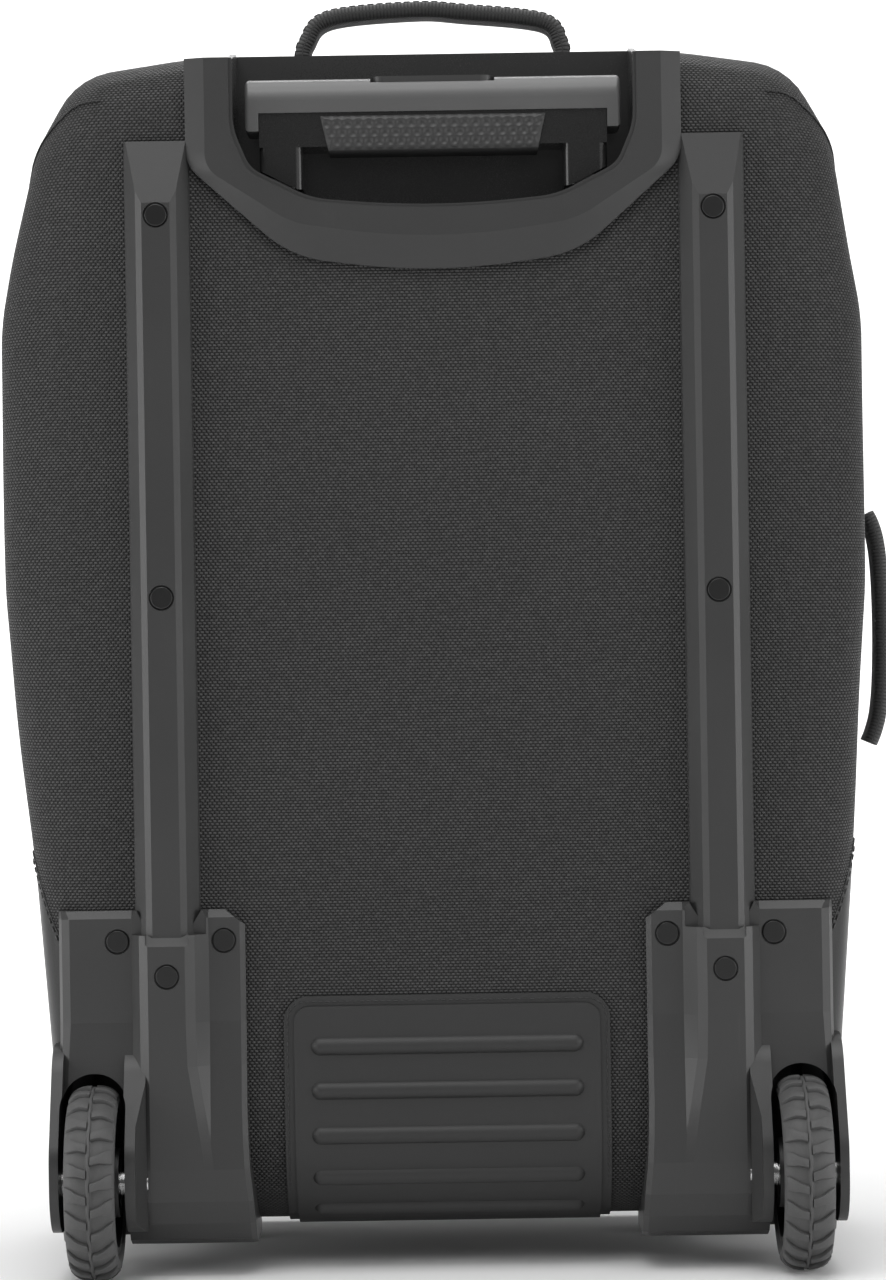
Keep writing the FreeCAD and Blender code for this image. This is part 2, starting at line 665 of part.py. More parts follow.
def well_corner():
    """The corner of the case that the wheel well takes up."""
    grow = WELL_WALL
    arch = [
        (WELL_X[0] - grow, -5),
        (300, -5),
        (300, WELL_TOP + 12),
        (WELL_X[1], WELL_TOP + 12),
        (WELL_X[1] + grow, WELL_TOP + grow),
        (WELL_X[0] - grow, WELL_TOP + grow, 8),
    ]
    return prism_y(arch, -80, WELL_FRONT + grow)


def rivet(x, z, seat_y):
    """One rivet: a low domed head at seat_y outside and a shank through to the board."""
    head = rod_y(RIVET_HEAD_R, seat_y - RIVET_HEAD, seat_y, x, z)
    rim = [e for e in head.Edges if abs(e.BoundBox.YMax - (seat_y - RIVET_HEAD)) < 1e-3]
    head = head.makeFillet(0.7, rim)
    return fuse([head, rod_y(RIVET_SHANK_R, seat_y - 0.5, 7.5, x, z)])


def rivet_places():
    """(x, z, seat y) of every rivet on the right side."""
    places = [(RAIL_X, z, -RAIL_HEIGHT + RIVET_HEAD) for z in RAIL_RIVET_Z]
    return places + [(x, z, -rise + RIVET_HEAD) for x, z, rise in HOUSING_RIVETS]


def rivet_seats():
    """Counterbores that the rivet heads sit in."""
    return [rod_y(RIVET_SEAT_R, -40, seat, x, z) for x, z, seat in rivet_places()]


def rivet_washers(rivets):
    """Washers that spread the rivets' load inside the board."""
    discs = [rod_y(7.0, WALL + 2, WALL + 3.2, x, z) for x, z, _ in rivet_places()]
    return both_sides(group(discs)).cut(rivets)


# ---- kick plate ----------------------------------------------------------------------------------
def kick_path(offset):
    """Side view points (y, z, radius) down the back and under the case, offset outwards."""
    low = CASE_BOTTOM - offset
    return [(-offset, KICK_TOP, 0), (-offset, low, CASE_HEEL_R + offset), (KICK_REACH, low, 0)]


def kick_layer(thickness, half, top, corner):
    """One thickness of the kick plate, wrapped round the heel, with rounded top corners."""
    outer, inner = kick_path(thickness), kick_path(0)
    layer = prism_x(outer + list(reversed(inner)), -half, half)
    corners = [(-half, 0), (half, 0), (half, top, corner), (-half, top, corner)]
    return layer.common(prism_y(corners, -20, 100))


def kick_plate():
    """Moulded scuff plate with five ribs, wrapped round the case's lower back edge."""
    border = kick_layer(KICK_BORDER, KICK_HALF, KICK_TOP, 11)
    panel = kick_layer(KICK_THICK, KICK_HALF - KICK_SEAM, KICK_TOP - KICK_SEAM, 7)
    plate = fuse([border, panel])
    ribs = [kick_rib(i * RIB_PITCH) for i in range(RIB_COUNT)]
    inside = [(0, 200), (0, CASE_BOTTOM, CASE_HEEL_R), (100, CASE_BOTTOM), (100, 200)]
    return fuse([plate] + ribs).cut(prism_x(inside, -100, 100))


def kick_rib(run):
    """One rib, at a distance along the plate's surface below the first."""
    turn_z = CASE_BOTTOM + CASE_HEEL_R
    straight = RIB_FIRST_Z - turn_z
    radius = CASE_HEEL_R + KICK_THICK - RIB_SUNK
    if run < straight:
        y, z = -KICK_THICK + RIB_SUNK, RIB_FIRST_Z - run
    else:
        angle = (run - straight) / CASE_HEEL_R
        y, z = CASE_HEEL_R - radius * math.cos(angle), turn_z - radius * math.sin(angle)
    bar = rod_x(RIB_R, -RIB_HALF + RIB_R, RIB_HALF - RIB_R, y, z)
    ends = [Part.makeSphere(RIB_R, Vec(x, y, z)) for x in (-RIB_HALF + RIB_R, RIB_HALF - RIB_R)]
    return fuse([bar] + ends)


# ---- wheels --------------------------------------------------------------------------------------
def spun(profile):
    """A ring from (x from the wheel's middle, radius) points, turned about the right axle."""
    points = [Vec(WHEEL_X + x, WHEEL_Y, WHEEL_R + r) for x, r in profile]
    face = Part.Face(Part.makePolygon(points + [points[0]]))
    return face.revolve(Vec(WHEEL_X, WHEEL_Y, WHEEL_R), X_DIR, 360)


def tyre():
    """Rubber tyre with a crowned tread."""
    w = WHEEL_HALF
    half = [(w - 1, RIM_R), (w, RIM_R + 4), (w - 1, WHEEL_R - 3), (4, WHEEL_R)]
    return spun(half + [(-x, r) for x, r in reversed(half)])


def hub():
    """Wheel centre: rim, web and boss with two bearing seats."""
    w, seat = WHEEL_HALF - 1, WHEEL_HALF - BEARING_WIDTH
    half = [
        (w, RIM_R),
        (w, RIM_R - 3),
        (3, RIM_R - 5),
        (3, 16),
        (WHEEL_HALF, 15),
        (WHEEL_HALF, BEARING_R),
        (seat, BEARING_R),
        (seat, BEARING_R - 2),
    ]
    return spun(half + [(-x, r) for x, r in reversed(half)])


def bearings():
    """The two ball bearings in a hub."""
    near, far = WHEEL_HALF - BEARING_WIDTH, WHEEL_HALF
    ring = [(near, BORE_R), (far, BORE_R), (far, BEARING_R), (near, BEARING_R)]
    return group([spun(ring), spun([(-x, r) for x, r in ring])])


def axle_bolt():
    """Bolt that the right wheel turns on, its head on the inner ear."""
    shank = rod_x(AXLE_R, EAR_INNER_X + 2, EAR_OUTER_X - 1.2, WHEEL_Y, WHEEL_R)
    head = rod_x(5.2, EAR_INNER_X - 0.5, EAR_INNER_X + 2.2, WHEEL_Y, WHEEL_R)
    return fuse([shank, head])


def axle_spacers():
    """Steel spacers between the ears and the bearings."""
    clear = 0.3
    made = []
    for x0, x1 in ((WELL_X[0], WHEEL_X - WHEEL_HALF - clear), (WHEEL_X + WHEEL_HALF + clear, WELL_X[1])):
        spacer = rod_x(5.6, x0, x1, WHEEL_Y, WHEEL_R).cut(rod_x(AXLE_R, x0 - 1, x1 + 1, WHEEL_Y, WHEEL_R))
        made.append(spacer)
    return group(made)


# ---- straps, feet, pocket and zips ---------------------------------------------------------------
def arch(base, rise, thick, half_span):
    """A bowed strap between two ends on a base line, as front view points (along, out)."""
    def bow(top, half):
        radius = (half * half + top * top) / (2 * top)
        turn = math.asin(half / radius)
        steps = 12
        angles = [turn * (2 * i / steps - 1) for i in range(steps + 1)]
        return [(radius * math.sin(a), base + top - radius + radius * math.cos(a)) for a in angles]
    outer = bow(rise, half_span)
    inner = bow(rise - thick, half_span - thick)
    return outer + list(reversed(inner))


def top_handle():
    """Webbing grab loop on the top, free to lean about its sewn ends."""
    base = TOP_STRAP_AXIS_Z - 2
    bow = arch(base, TOP_STRAP_REACH_Z - base, TOP_STRAP_THICK, TOP_STRAP_SPAN)
    loop = prism_y(bow, STRAP_Y - STRAP_HALF, STRAP_Y + STRAP_HALF)
    low, high = base - 0.2, TOP_STRAP_AXIS_Z + 7
    keep = [(STRAP_Y - 2.5, low), (STRAP_Y + 2.5, low), (STRAP_Y + 12, high), (STRAP_Y + 12, 600),
            (STRAP_Y - 12, 600), (STRAP_Y - 12, high)]
    return loop.common(prism_x(keep, -100, 100))


def top_handle_tabs():
    """Sewn ends of the top loop."""
    tab = box(52, 96, STRAP_Y - STRAP_HALF, STRAP_Y + STRAP_HALF, 500, CASE_TOP + TAB_THICK)
    return both_sides(tab.cut(case_prism(0, 0, CASE_DEPTH)))


def side_handle():
    """Webbing grab loop on the right side."""
    base = SIDE_STRAP_AXIS_X - 1.4
    bow = arch(base, SIDE_STRAP_REACH - base, SIDE_STRAP_THICK, SIDE_STRAP_SPAN)
    points = [(out, SIDE_STRAP_Z + along) for along, out in bow]
    loop = prism_y(points, STRAP_Y - STRAP_HALF, STRAP_Y + STRAP_HALF)
    low, high = base - 0.1, SIDE_STRAP_AXIS_X + 3
    keep = [(low, STRAP_Y - 2.5), (high, STRAP_Y - 9.5), (high + 2, STRAP_Y - 12), (250, STRAP_Y - 12),
            (250, STRAP_Y + 12), (high + 2, STRAP_Y + 12), (high, STRAP_Y + 9.5), (low, STRAP_Y + 2.5)]
    return loop.common(prism_z(keep, 150, 420))


def side_handle_tabs():
    """Sewn ends of the side loop."""
    made = []
    for sign in (-1, 1):
        z0, z1 = sorted((SIDE_STRAP_Z + sign * 44, SIDE_STRAP_Z + sign * 84))
        made.append(box(150, CASE_HALF_WIDTH + 0.8, STRAP_Y - STRAP_HALF, STRAP_Y + STRAP_HALF, z0, z1))
    return group(made).cut(case_prism(0, 0, CASE_DEPTH))


def front_feet():
    """Two moulded feet that the bag stands on in front of its wheels."""
    outline = rect(FOOT_X - 22, FOOT_X + 22, FOOT_Y - 12, FOOT_Y + 12, 5)
    return both_sides(prism_z(outline, 0, CASE_BOTTOM))


def pocket_panel():
    """Front pocket: a shallow tray of fabric, open towards the lid."""
    y0, y1 = CASE_DEPTH + 0.3, CASE_DEPTH + POCKET_DEPTH
    low, high = POCKET_Z
    outline = rect(-POCKET_HALF, POCKET_HALF, low, high, POCKET_CORNER_R)
    block = prism_y(outline, y0, y1)
    front = [e for e in block.Edges if abs(e.BoundBox.YMin - y1) < 1e-3]
    block = block.makeFillet(5, front)
    s = POCKET_SKIN
    inside = rect(s - POCKET_HALF, POCKET_HALF - s, low + s, high - s, POCKET_CORNER_R - s)
    return block.cut(prism_y(inside, y0 - 1, y1 - s))


def pocket_zip_chain():
    """Coil that runs up, over and down round the pocket."""
    y0, y1 = CASE_DEPTH, CASE_DEPTH + CHAIN_RISE
    ring = []
    for grow in (5.5, 0.5):
        half, low, high = POCKET_HALF + grow, POCKET_Z[0] + 14, POCKET_Z[1] + grow
        radius = POCKET_CORNER_R + grow
        ring.append([(half, low), (half, high, radius), (-half, high, radius), (-half, low)])
    outer, inner = (prism_y(points, y0, y1) for points in ring)
    return outer.cut(inner)


def main_slider(side):
    """A slider of the main zip, riding on the coil along the top."""
    x, z = side * SLIDER_X, CASE_TOP + CHAIN_RISE + SLIDER_LIFT
    plate = prism_z(rect(x - 5.5, x + 5.5, ZIP_Y - 4.5, ZIP_Y + 4.5, 2.5), z, z + 1.8)
    posts = [box(x - 1.6, x + 1.6, y - 0.8, y + 0.8, z + 1.5, z + 5.4) for y in (ZIP_Y - 3.6, ZIP_Y + 3.6)]
    pin = rod_y(0.8, ZIP_Y - 3.6, ZIP_Y + 3.6, x, z + 4.2)
    return fuse([plate, pin] + posts)


def main_pull(side):
    """The pull of a main slider, lying flat along the zip."""
    x, z = SLIDER_X, CASE_TOP + CHAIN_RISE + SLIDER_LIFT + 4.2
    far = x + PULL_LENGTH
    tab = [(x + 1.6, ZIP_Y - 2.4, 0.5), (far, ZIP_Y - 4, 3), (far, ZIP_Y + 4, 3), (x + 1.6, ZIP_Y + 2.4, 0.5)]
    body = fuse([prism_z(tab, z - 1, z + 1), rod_y(2.0, ZIP_Y - 2.4, ZIP_Y + 2.4, x, z)])
    slot = prism_z(rect(x + 12, x + 24, ZIP_Y - 2, ZIP_Y + 2, 1.9), z - 5, z + 5)
    body = body.cut(rod_y(1.1, ZIP_Y - 5, ZIP_Y + 5, x, z)).cut(slot)
    return body if side > 0 else mirrored(body)


def pocket_slider():
    """The pocket zip's slider, at the foot of its right-hand run."""
    x, z = POCKET_SLIDER
    y = CASE_DEPTH + CHAIN_RISE + SLIDER_LIFT
    plate = prism_y(rect(x - 4, x + 4, z - 5, z + 5, 2), y, y + 1.6)
    posts = [box(a - 0.7, a + 0.7, y + 1.3, y + 4.8, z - 1.5, z + 1.5) for a in (x - 3.2, x + 3.2)]
    return fuse([plate, rod_x(0.8, x - 3.2, x + 3.2, y + 3.8, z)] + posts)


def pocket_pull():
    """The pocket slider's pull, hanging straight down."""
    x, z = POCKET_SLIDER
    y = CASE_DEPTH + CHAIN_RISE + SLIDER_LIFT + 3.8
    top, foot = z - 1.6, z - 26
    outline = [(x - 2.1, top, 0.5), (x + 2.1, top, 0.5), (x + 3.4, foot, 2.5), (x - 3.4, foot, 2.5)]
    tab = prism_y(outline, y - 0.9, y + 0.9)
    eye = rod_x(1.9, x - 2.1, x + 2.1, y, z)
    return fuse([tab, eye]).cut(rod_x(1.1, x - 5, x + 5, y, z))


# ---- assembly ------------------------------------------------------------------------------------
def build():
    """Every node's shape, trimmed so that neighbours meet without overlapping."""
    case_solid = rounded_case(0)
    right_housing = wheel_housing(case_solid)
    seats = rivet_seats()
    bezel_block = prism_y(two_halves(BEZEL_OUTER), -BEZEL_RISE, 1)
    rail = rail_blank().cut(right_housing).cut(bezel_block)
    rivets = both_sides(group([rivet(*place) for place in rivet_places()]))
    bolts = both_sides(axle_bolt())
    for seat in seats:
        rail = rail.cut(seat)
        right_housing = right_housing.cut(seat)
    rail = rail.cut(rivets)
    right_housing = right_housing.cut(rivets).cut(bolts)

    tray = recess_tray()
    tray_space = tray_block(TRAY_WALL, -1, TRAY_DEPTH + TRAY_WALL, 600)
    wells = both_sides(well_corner())
    back, gussets, lid_face, lid_ring = case_panels()

    def trimmed(shape):
        """A soft panel cut clear of the tray, the wheel wells and the rivets."""
        return shape.cut(tray_space).cut(wells).cut(rivets)

    lower_shell = grip_lower_shell()
    housings = group([right_housing, mirrored(right_housing)])
    nodes = {
        "back_panel": trimmed(back),
        "left_gusset": trimmed(gussets["left"]).cut(housings),
        "right_gusset": trimmed(gussets["right"]).cut(housings),
        "top_gusset": trimmed(gussets["top"]),
        "bottom_gusset": trimmed(gussets["bottom"]).cut(housings),
        "back_board": trimmed(back_board()),
        "base_board": base_board(),
        "tube_lining": tube_lining(),
        "handle_bezel": handle_bezel(),
        "recess_tray": tray,
        "left_rail": mirrored(rail),
        "right_rail": rail,
        "left_wheel_housing": mirrored(right_housing),
        "right_wheel_housing": right_housing,
        "rivets": rivets,
        "rivet_washers": rivet_washers(rivets),
        "kick_plate": kick_plate(),
        "left_outer_tube": tube(2, -1, OUTER_TUBE_Z),
        "right_outer_tube": tube(2, 1, OUTER_TUBE_Z),
        "outer_tube_collars": collars(2, OUTER_TUBE_Z[1], 20),
        "tube_foot_bracket": tube_foot_bracket(),
        "axle_bolts": bolts,
        "axle_spacers": both_sides(axle_spacers()),
        "top_handle_tabs": top_handle_tabs(),
        "side_handle_tabs": side_handle_tabs(),
        "front_feet": front_feet(),
        "main_zip_chain_case": zip_chain(ZIP_Y - CHAIN_WIDTH, ZIP_Y - ZIP_GAP),
        "lid_hinge_tape": hinge_tape(),
        "left_mid_tube": mid_tube(-1),
        "right_mid_tube": mid_tube(1),
        "mid_tube_collars": collars(1, MID_TUBE_Z[1], 18),
        "left_inner_tube": inner_tube(-1),
        "right_inner_tube": inner_tube(1),
        "grip_upper_shell": grip_upper_shell(),
        "grip_lower_shell": lower_shell,
        "grip_pad": grip_pad(lower_shell),
        "lock_plugs": lock_plugs(),
        "release_button": release_button(),
        "push_rods": push_rods(),
        "left_lock_pin": lock_pin(-1),
        "right_lock_pin": lock_pin(1),
        "left_tyre": mirrored(tyre()),
        "right_tyre": tyre(),
        "left_wheel_hub": mirrored(hub()),
        "right_wheel_hub": hub(),
        "left_bearings": mirrored(bearings()),
        "right_bearings": bearings(),
        "lid_panel": lid_face,
        "lid_gusset": lid_ring,
        "main_zip_chain_lid": zip_chain(ZIP_Y + ZIP_GAP, ZIP_Y + CHAIN_WIDTH),
        "pocket_zip_chain": pocket_zip_chain(),
        "pocket_panel": pocket_panel(),
        "left_zip_slider": main_slider(-1),
        "left_zip_pull": main_pull(-1),
        "right_zip_slider": main_slider(1),
        "right_zip_pull": main_pull(1),
        "pocket_slider": pocket_slider(),
        "pocket_pull": pocket_pull(),
        "top_handle": top_handle(),
        "side_handle": side_handle(),
    }
    return nodes


def save_all(nodes):
    """Writes each node, moved so that the origin is the bottom centre of the bag's box."""
    os.makedirs("parts", exist_ok=True)
    for name, shape in nodes.items():
        placed = shape.copy()
        placed.translate(ORIGIN * -1)
        solids = placed.Solids
        whole = solids[0] if len(solids) == 1 else Part.Compound(solids)
        whole.exportStep(f"parts/{name}.step")
        print(f"{name:22s} solids {len(solids):2d}  valid {whole.isValid()}  volume {whole.Volume:10.1f}")


if __name__ == "__main__":
    save_all(build())
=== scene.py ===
import json
import logging
import math
from contextlib import contextmanager
from dataclasses import dataclass, field
from enum import Enum
from typing import Callable, Iterator, Sequence

import bmesh
import bpy
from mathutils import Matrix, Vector, noise


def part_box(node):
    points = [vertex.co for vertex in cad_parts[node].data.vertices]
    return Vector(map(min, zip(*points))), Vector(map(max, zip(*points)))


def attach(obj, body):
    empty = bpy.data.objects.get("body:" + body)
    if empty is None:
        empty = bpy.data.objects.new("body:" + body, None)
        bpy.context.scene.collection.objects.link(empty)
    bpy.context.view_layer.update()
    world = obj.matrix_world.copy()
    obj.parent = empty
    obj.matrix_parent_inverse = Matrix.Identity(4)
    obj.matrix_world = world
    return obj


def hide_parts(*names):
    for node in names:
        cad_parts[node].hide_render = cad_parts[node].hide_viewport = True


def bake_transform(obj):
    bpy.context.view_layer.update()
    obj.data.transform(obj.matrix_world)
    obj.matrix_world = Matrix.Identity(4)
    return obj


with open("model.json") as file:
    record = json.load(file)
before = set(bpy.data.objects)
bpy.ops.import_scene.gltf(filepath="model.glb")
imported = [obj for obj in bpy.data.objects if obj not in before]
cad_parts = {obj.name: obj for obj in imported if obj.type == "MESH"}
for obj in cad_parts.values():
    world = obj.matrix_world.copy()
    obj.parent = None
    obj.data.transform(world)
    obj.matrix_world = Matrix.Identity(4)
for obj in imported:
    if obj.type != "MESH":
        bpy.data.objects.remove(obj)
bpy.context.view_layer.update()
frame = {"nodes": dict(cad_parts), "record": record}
LOG = logging.getLogger("skate_bag")
MM = 0.001
FORWARD = Vector((0, 1, 0))
Pair = tuple[float, float]
Face = tuple[int, ...]


# ---- shader writing ------------------------------------------------------------------------------
class Mapping(Enum):
    """How a woven finish finds its threads."""

    SEWN = "sewn"
    BOX = "box"


class Wave:
    """A shader socket that arithmetic can be written on."""

    def __init__(self, tree: "Tree", socket: bpy.types.NodeSocket) -> None:
        """Keep the socket and the tree that it belongs to.

        Args:
            tree: the node tree being written.
            socket: an output socket of that tree.
        """
        self.tree = tree
        self.socket = socket

    def math(self, operation: str, *values: "Wave | float") -> "Wave":
        """Add one Math node.

        Args:
            operation: the node's operation.
            values: its inputs, in order.

        Returns:
            The node's result.
        """
        node = self.tree.add("ShaderNodeMath", {"operation": operation}, dict(enumerate(values)))
        return Wave(self.tree, node.outputs[0])

    def __add__(self, other: "Wave | float") -> "Wave":
        """Sum."""
        return self.math("ADD", self, other)

    def __radd__(self, other: float) -> "Wave":
        """Sum, number first."""
        return self.math("ADD", other, self)

    def __sub__(self, other: "Wave | float") -> "Wave":
        """Difference."""
        return self.math("SUBTRACT", self, other)

    def __rsub__(self, other: float) -> "Wave":
        """Difference, number first."""
        return self.math("SUBTRACT", other, self)

    def __mul__(self, other: "Wave | float") -> "Wave":
        """Product."""
        return self.math("MULTIPLY", self, other)

    def __rmul__(self, other: float) -> "Wave":
        """Product, number first."""
        return self.math("MULTIPLY", other, self)

    def __truediv__(self, other: "Wave | float") -> "Wave":
        """Quotient."""
        return self.math("DIVIDE", self, other)

    def __pow__(self, other: "Wave | float") -> "Wave":
        """Power."""
        return self.math("POWER", self, other)

    def __abs__(self) -> "Wave":
        """Size without sign."""
        return self.math("ABSOLUTE", self)

    def floor(self) -> "Wave":
        """Whole part."""
        return self.math("FLOOR", self)

    def fract(self) -> "Wave":
        """Part after the point."""
        return self.math("FRACT", self)

    def over(self, edge: "Wave | float") -> "Wave":
        """1 above the edge, 0 below."""
        return self.math("GREATER_THAN", self, edge)

    def most(self, other: "Wave | float") -> "Wave":
        """The larger of two."""
        return self.math("MAXIMUM", self, other)

    def smooth(self, low: float, high: float) -> "Wave":
        """Rise smoothly from 0 to 1.

        Args:
            low: value where the rise starts.
            high: value where it ends.

        Returns:
            The eased value.
        """
        node = self.tree.add(
            "ShaderNodeMapRange",
            {"interpolation_type": "SMOOTHSTEP"},
            {"Value": self, "From Min": low, "From Max": high},
        )
        return Wave(self.tree, node.outputs["Result"])


class Tree:
    """A material's node tree, with one way to add nodes."""

    def __init__(self, name: str) -> None:
        """Start a material that holds only a Principled shader.

        Args:
            name: the material's name.
        """
        self.material = bpy.data.materials.new(name)
        self.material.use_nodes = True
        self.nodes = self.material.node_tree.nodes
        self.links = self.material.node_tree.links
        self.shader = next(n for n in self.nodes if n.type == "BSDF_PRINCIPLED")

    def add(self, kind: str, settings: dict | None = None, sockets: dict | None = None) -> bpy.types.Node:
        """Add a node.

        Args:
            kind: the node's type.
            settings: its properties, set first.
            sockets: values or links of its inputs, by name or index.

        Returns:
            The node.
        """
        node = self.nodes.new(kind)
        for key, value in (settings or {}).items():
            setattr(node, key, value)
        self.fill(node, sockets or {})
        return node

    def fill(self, node: bpy.types.Node, sockets: dict) -> None:
        """Set or link a node's inputs.

        Args:
            node: the node.
            sockets: values, Waves or sockets, by input name or index.
        """
        for key, value in sockets.items():
            if isinstance(value, Wave):
                value = value.socket
            if isinstance(value, bpy.types.NodeSocket):
                self.links.new(value, node.inputs[key])
            else:
                node.inputs[key].default_value = value

    def split(self, vector: bpy.types.NodeSocket) -> tuple[Wave, Wave, Wave]:
        """Take a vector apart."""
        node = self.add("ShaderNodeSeparateXYZ", None, {0: vector})
        return tuple(Wave(self, out) for out in node.outputs)

    def place(self) -> bpy.types.NodeSocket:
        """Object coordinates, in metres."""
        return self.add("ShaderNodeTexCoord").outputs["Object"]

    def facing(self) -> tuple[Wave, Wave, Wave]:
        """The surface's own normal, taken apart."""
        return self.split(self.add("ShaderNodeTexCoord").outputs["Normal"])

    def sewn(self) -> tuple[Wave, Wave, Wave]:
        """Distances along the cloth, in metres."""
        return self.split(self.add("ShaderNodeUVMap", {"uv_map": "Weave"}).outputs[0])

    def speckle(self, scale: float, detail: float = 2.0, stretch: Sequence[float] = (1, 1, 1)) -> Wave:
        """Noise over the object.

        Args:
            scale: grains per metre.
            detail: octaves.
            stretch: scale along each axis.

        Returns:
            Noise from 0 to 1.
        """
        spread = self.add(
            "ShaderNodeVectorMath", {"operation": "MULTIPLY"}, {0: self.place(), 1: tuple(stretch)}
        )
        node = self.add(
            "ShaderNodeTexNoise", None, {"Vector": spread.outputs[0], "Scale": scale, "Detail": detail}
        )
        return Wave(self, node.outputs[0])

    def blend(self, share: Wave, low: Sequence[float], high: Sequence[float]) -> bpy.types.NodeSocket:
        """Mix two colours.

        Args:
            share: how much of the second.
            low: first colour, or a socket.
            high: second colour, or a socket.

        Returns:
            The mixed colour.
        """
        node = self.add("ShaderNodeMix", {"data_type": "RGBA"}, {0: share})
        for slot, value in ((6, low), (7, high)):
            self.fill(node, {slot: value if isinstance(value, bpy.types.NodeSocket) else (*value, 1.0)})
        return node.outputs[2]

    def bump(self, height: Wave, depth: float, strength: float = 1.0) -> None:
        """Raise the surface by a height.

        Args:
            height: the relief, about 0 to 1.
            depth: its real depth in metres.
            strength: the bump's strength.
        """
        node = self.add("ShaderNodeBump", None, {"Height": height, "Distance": depth, "Strength": strength})
        self.fill(self.shader, {"Normal": node.outputs[0]})


def grey(value: float, warm: float = 0.0) -> tuple[float, float, float]:
    """A near-neutral colour, a little warm or cool."""
    return (value * (1 + warm), value, value * (1 - warm))


@dataclass(frozen=True)
class Finish:
    """A procedural finish; each kind writes its own shader."""

    name: str

    def make(self) -> bpy.types.Material:
        """Build the material, or hand back the one already built.

        Returns:
            The material.
        """
        found = bpy.data.materials.get(self.name)
        if found is None:
            tree = Tree(self.name)
            self.write(tree)
            found = tree.material
        return found

    def write(self, tree: Tree) -> None:
        """Fill in the shader."""
        raise NotImplementedError


@dataclass(frozen=True)
class BallisticWeave(Finish):
    """Coarse basket-like nylon with painted shade in the gaps between threads, and a smooth coated band low
    on the sides.
    """

    mapping: Mapping = Mapping.SEWN
    thread: float = 0.078
    # colour of the gaps between threads: painted shade standing in for their shadow
    painted_gap_shade: float = 0.0015
    pitch: Pair = (0.0021, 0.0013)
    coated: bool = False

    def write(self, tree: Tree) -> None:
        """Fill in the shader.

        Args:
            tree: the material's tree.
        """
        u, v = self.threads(tree)
        row = v / self.pitch[1]
        column = u / self.pitch[0] + 0.5 * (row.floor() / 2).fract() * 2
        across, along = column.fract() * 2 - 1, row.fract() * 2 - 1
        hump = (1 - across * across).most(0) * (1 - along * along * 0.92).most(0)
        height = hump ** 1.0
        cell = tree.add("ShaderNodeCombineXYZ", None, {0: column.floor(), 1: row.floor()})
        chance = Wave(tree, tree.add("ShaderNodeTexWhiteNoise", None, {0: cell.outputs[0]}).outputs[0])
        cloud = tree.speckle(9.0, 3.0)
        # Painted shade: the colour darkens with the weave's height, so the gaps between threads go dark as if
        # shaded; the cell noise and cloud are real tone changes.
        tone = height * (0.55 + 0.3 * chance + 0.3 * cloud)
        colour = tree.blend(tone, grey(self.painted_gap_shade), grey(self.thread, 0.004))
        rough = 0.62 - 0.14 * height
        relief = height
        if self.coated:
            mask = self.band(tree)
            fine = tree.speckle(900.0, 1.0)
            coat = tree.blend(fine, grey(0.016), grey(0.024))
            colour = tree.blend(mask, colour, coat)
            rough = rough * (1 - mask) + (0.33 + 0.08 * fine) * mask
            relief = height * (1 - mask) + 0.08 * fine * mask
        tree.bump(relief, 0.0006, 0.95)
        tree.fill(tree.shader, {
            "Base Color": colour, "Roughness": rough, "Sheen Weight": 0.02,
            "Sheen Roughness": 0.5, "Specular IOR Level": 0.24,
        })

    def threads(self, tree: Tree) -> tuple[Wave, Wave]:
        """Find the position along and across the threads.

        Args:
            tree: the material's tree.

        Returns:
            Distances in metres.
        """
        if self.mapping is Mapping.SEWN:
            return tree.sewn()[:2]
        x, y, z = tree.split(tree.place())
        nx, _, nz = tree.facing()
        side, lid = abs(nx).over(0.7), abs(nz).over(0.7)
        return x * (1 - side) + y * side, z * (1 - lid) + y * lid

    def band(self, tree: Tree) -> Wave:
        """Mask of the coated band below the slanting side seam.

        Args:
            tree: the material's tree.

        Returns:
            1 on the coated cloth.
        """
        x, y, z = tree.split(tree.place())
        depth = y - LAYOUT.back
        seam = 0.118 + 0.068 * depth.smooth(-0.010, 0.024)
        return (seam - z).smooth(-0.0004, 0.0004) * abs(x - LAYOUT.middle).over(0.152).most(depth.over(0.05))


@dataclass(frozen=True)
class Lining(Finish):
    """Thin grey ripstop inside the case."""

    tone: float = 0.085

    def write(self, tree: Tree) -> None:
        """Fill in the shader.

        Args:
            tree: the material's tree.
        """
        x, y, z = tree.split(tree.place())
        u, v = (x + y) / 0.006, (z + y) / 0.006
        rib = (abs(u.fract() - 0.5).smooth(0.44, 0.5)).most(abs(v.fract() - 0.5).smooth(0.44, 0.5))
        fine = tree.speckle(1500.0, 1.0)
        tree.bump(rib * 0.7 + fine * 0.3, 0.00015)
        colour = tree.blend(rib * 0.6 + fine * 0.4, grey(self.tone * 0.8), grey(self.tone * 1.25))
        tree.fill(tree.shader, {"Base Color": colour, "Roughness": 0.6 - 0.1 * fine})


@dataclass(frozen=True)
class Webbing(Finish):
    """Ribbed narrow webbing with painted shade in its grooves, for the loops, their sewn ends and the zip
    tape.
    """

    tone: float = 0.035
    rib: float = 0.0016
    cord: float = 0.0028

    def write(self, tree: Tree) -> None:
        """Fill in the shader.

        Args:
            tree: the material's tree.
        """
        u, v, _ = tree.sewn()
        cross = (v / self.rib + (u / self.cord).floor() * 0.5).fract() * 2 - 1
        cords = (u / self.cord).fract() * 2 - 1
        height = (1 - cross * cross) * (1 - 0.5 * cords * cords)
        fuzz = tree.speckle(1200.0, 1.0)
        # Painted shade: the colour darkens with the ribs' height, so the grooves between ribs and cords go
        # dark as if shaded; the fuzz is real tone.
        colour = tree.blend(height * (0.7 + 0.5 * fuzz), grey(self.tone * 0.32), grey(self.tone * 1.5))
        tree.bump(height, 0.0004, 0.9)
        tree.fill(tree.shader, {"Base Color": colour, "Roughness": 0.72 - 0.12 * height, "Sheen Weight": 0.1})


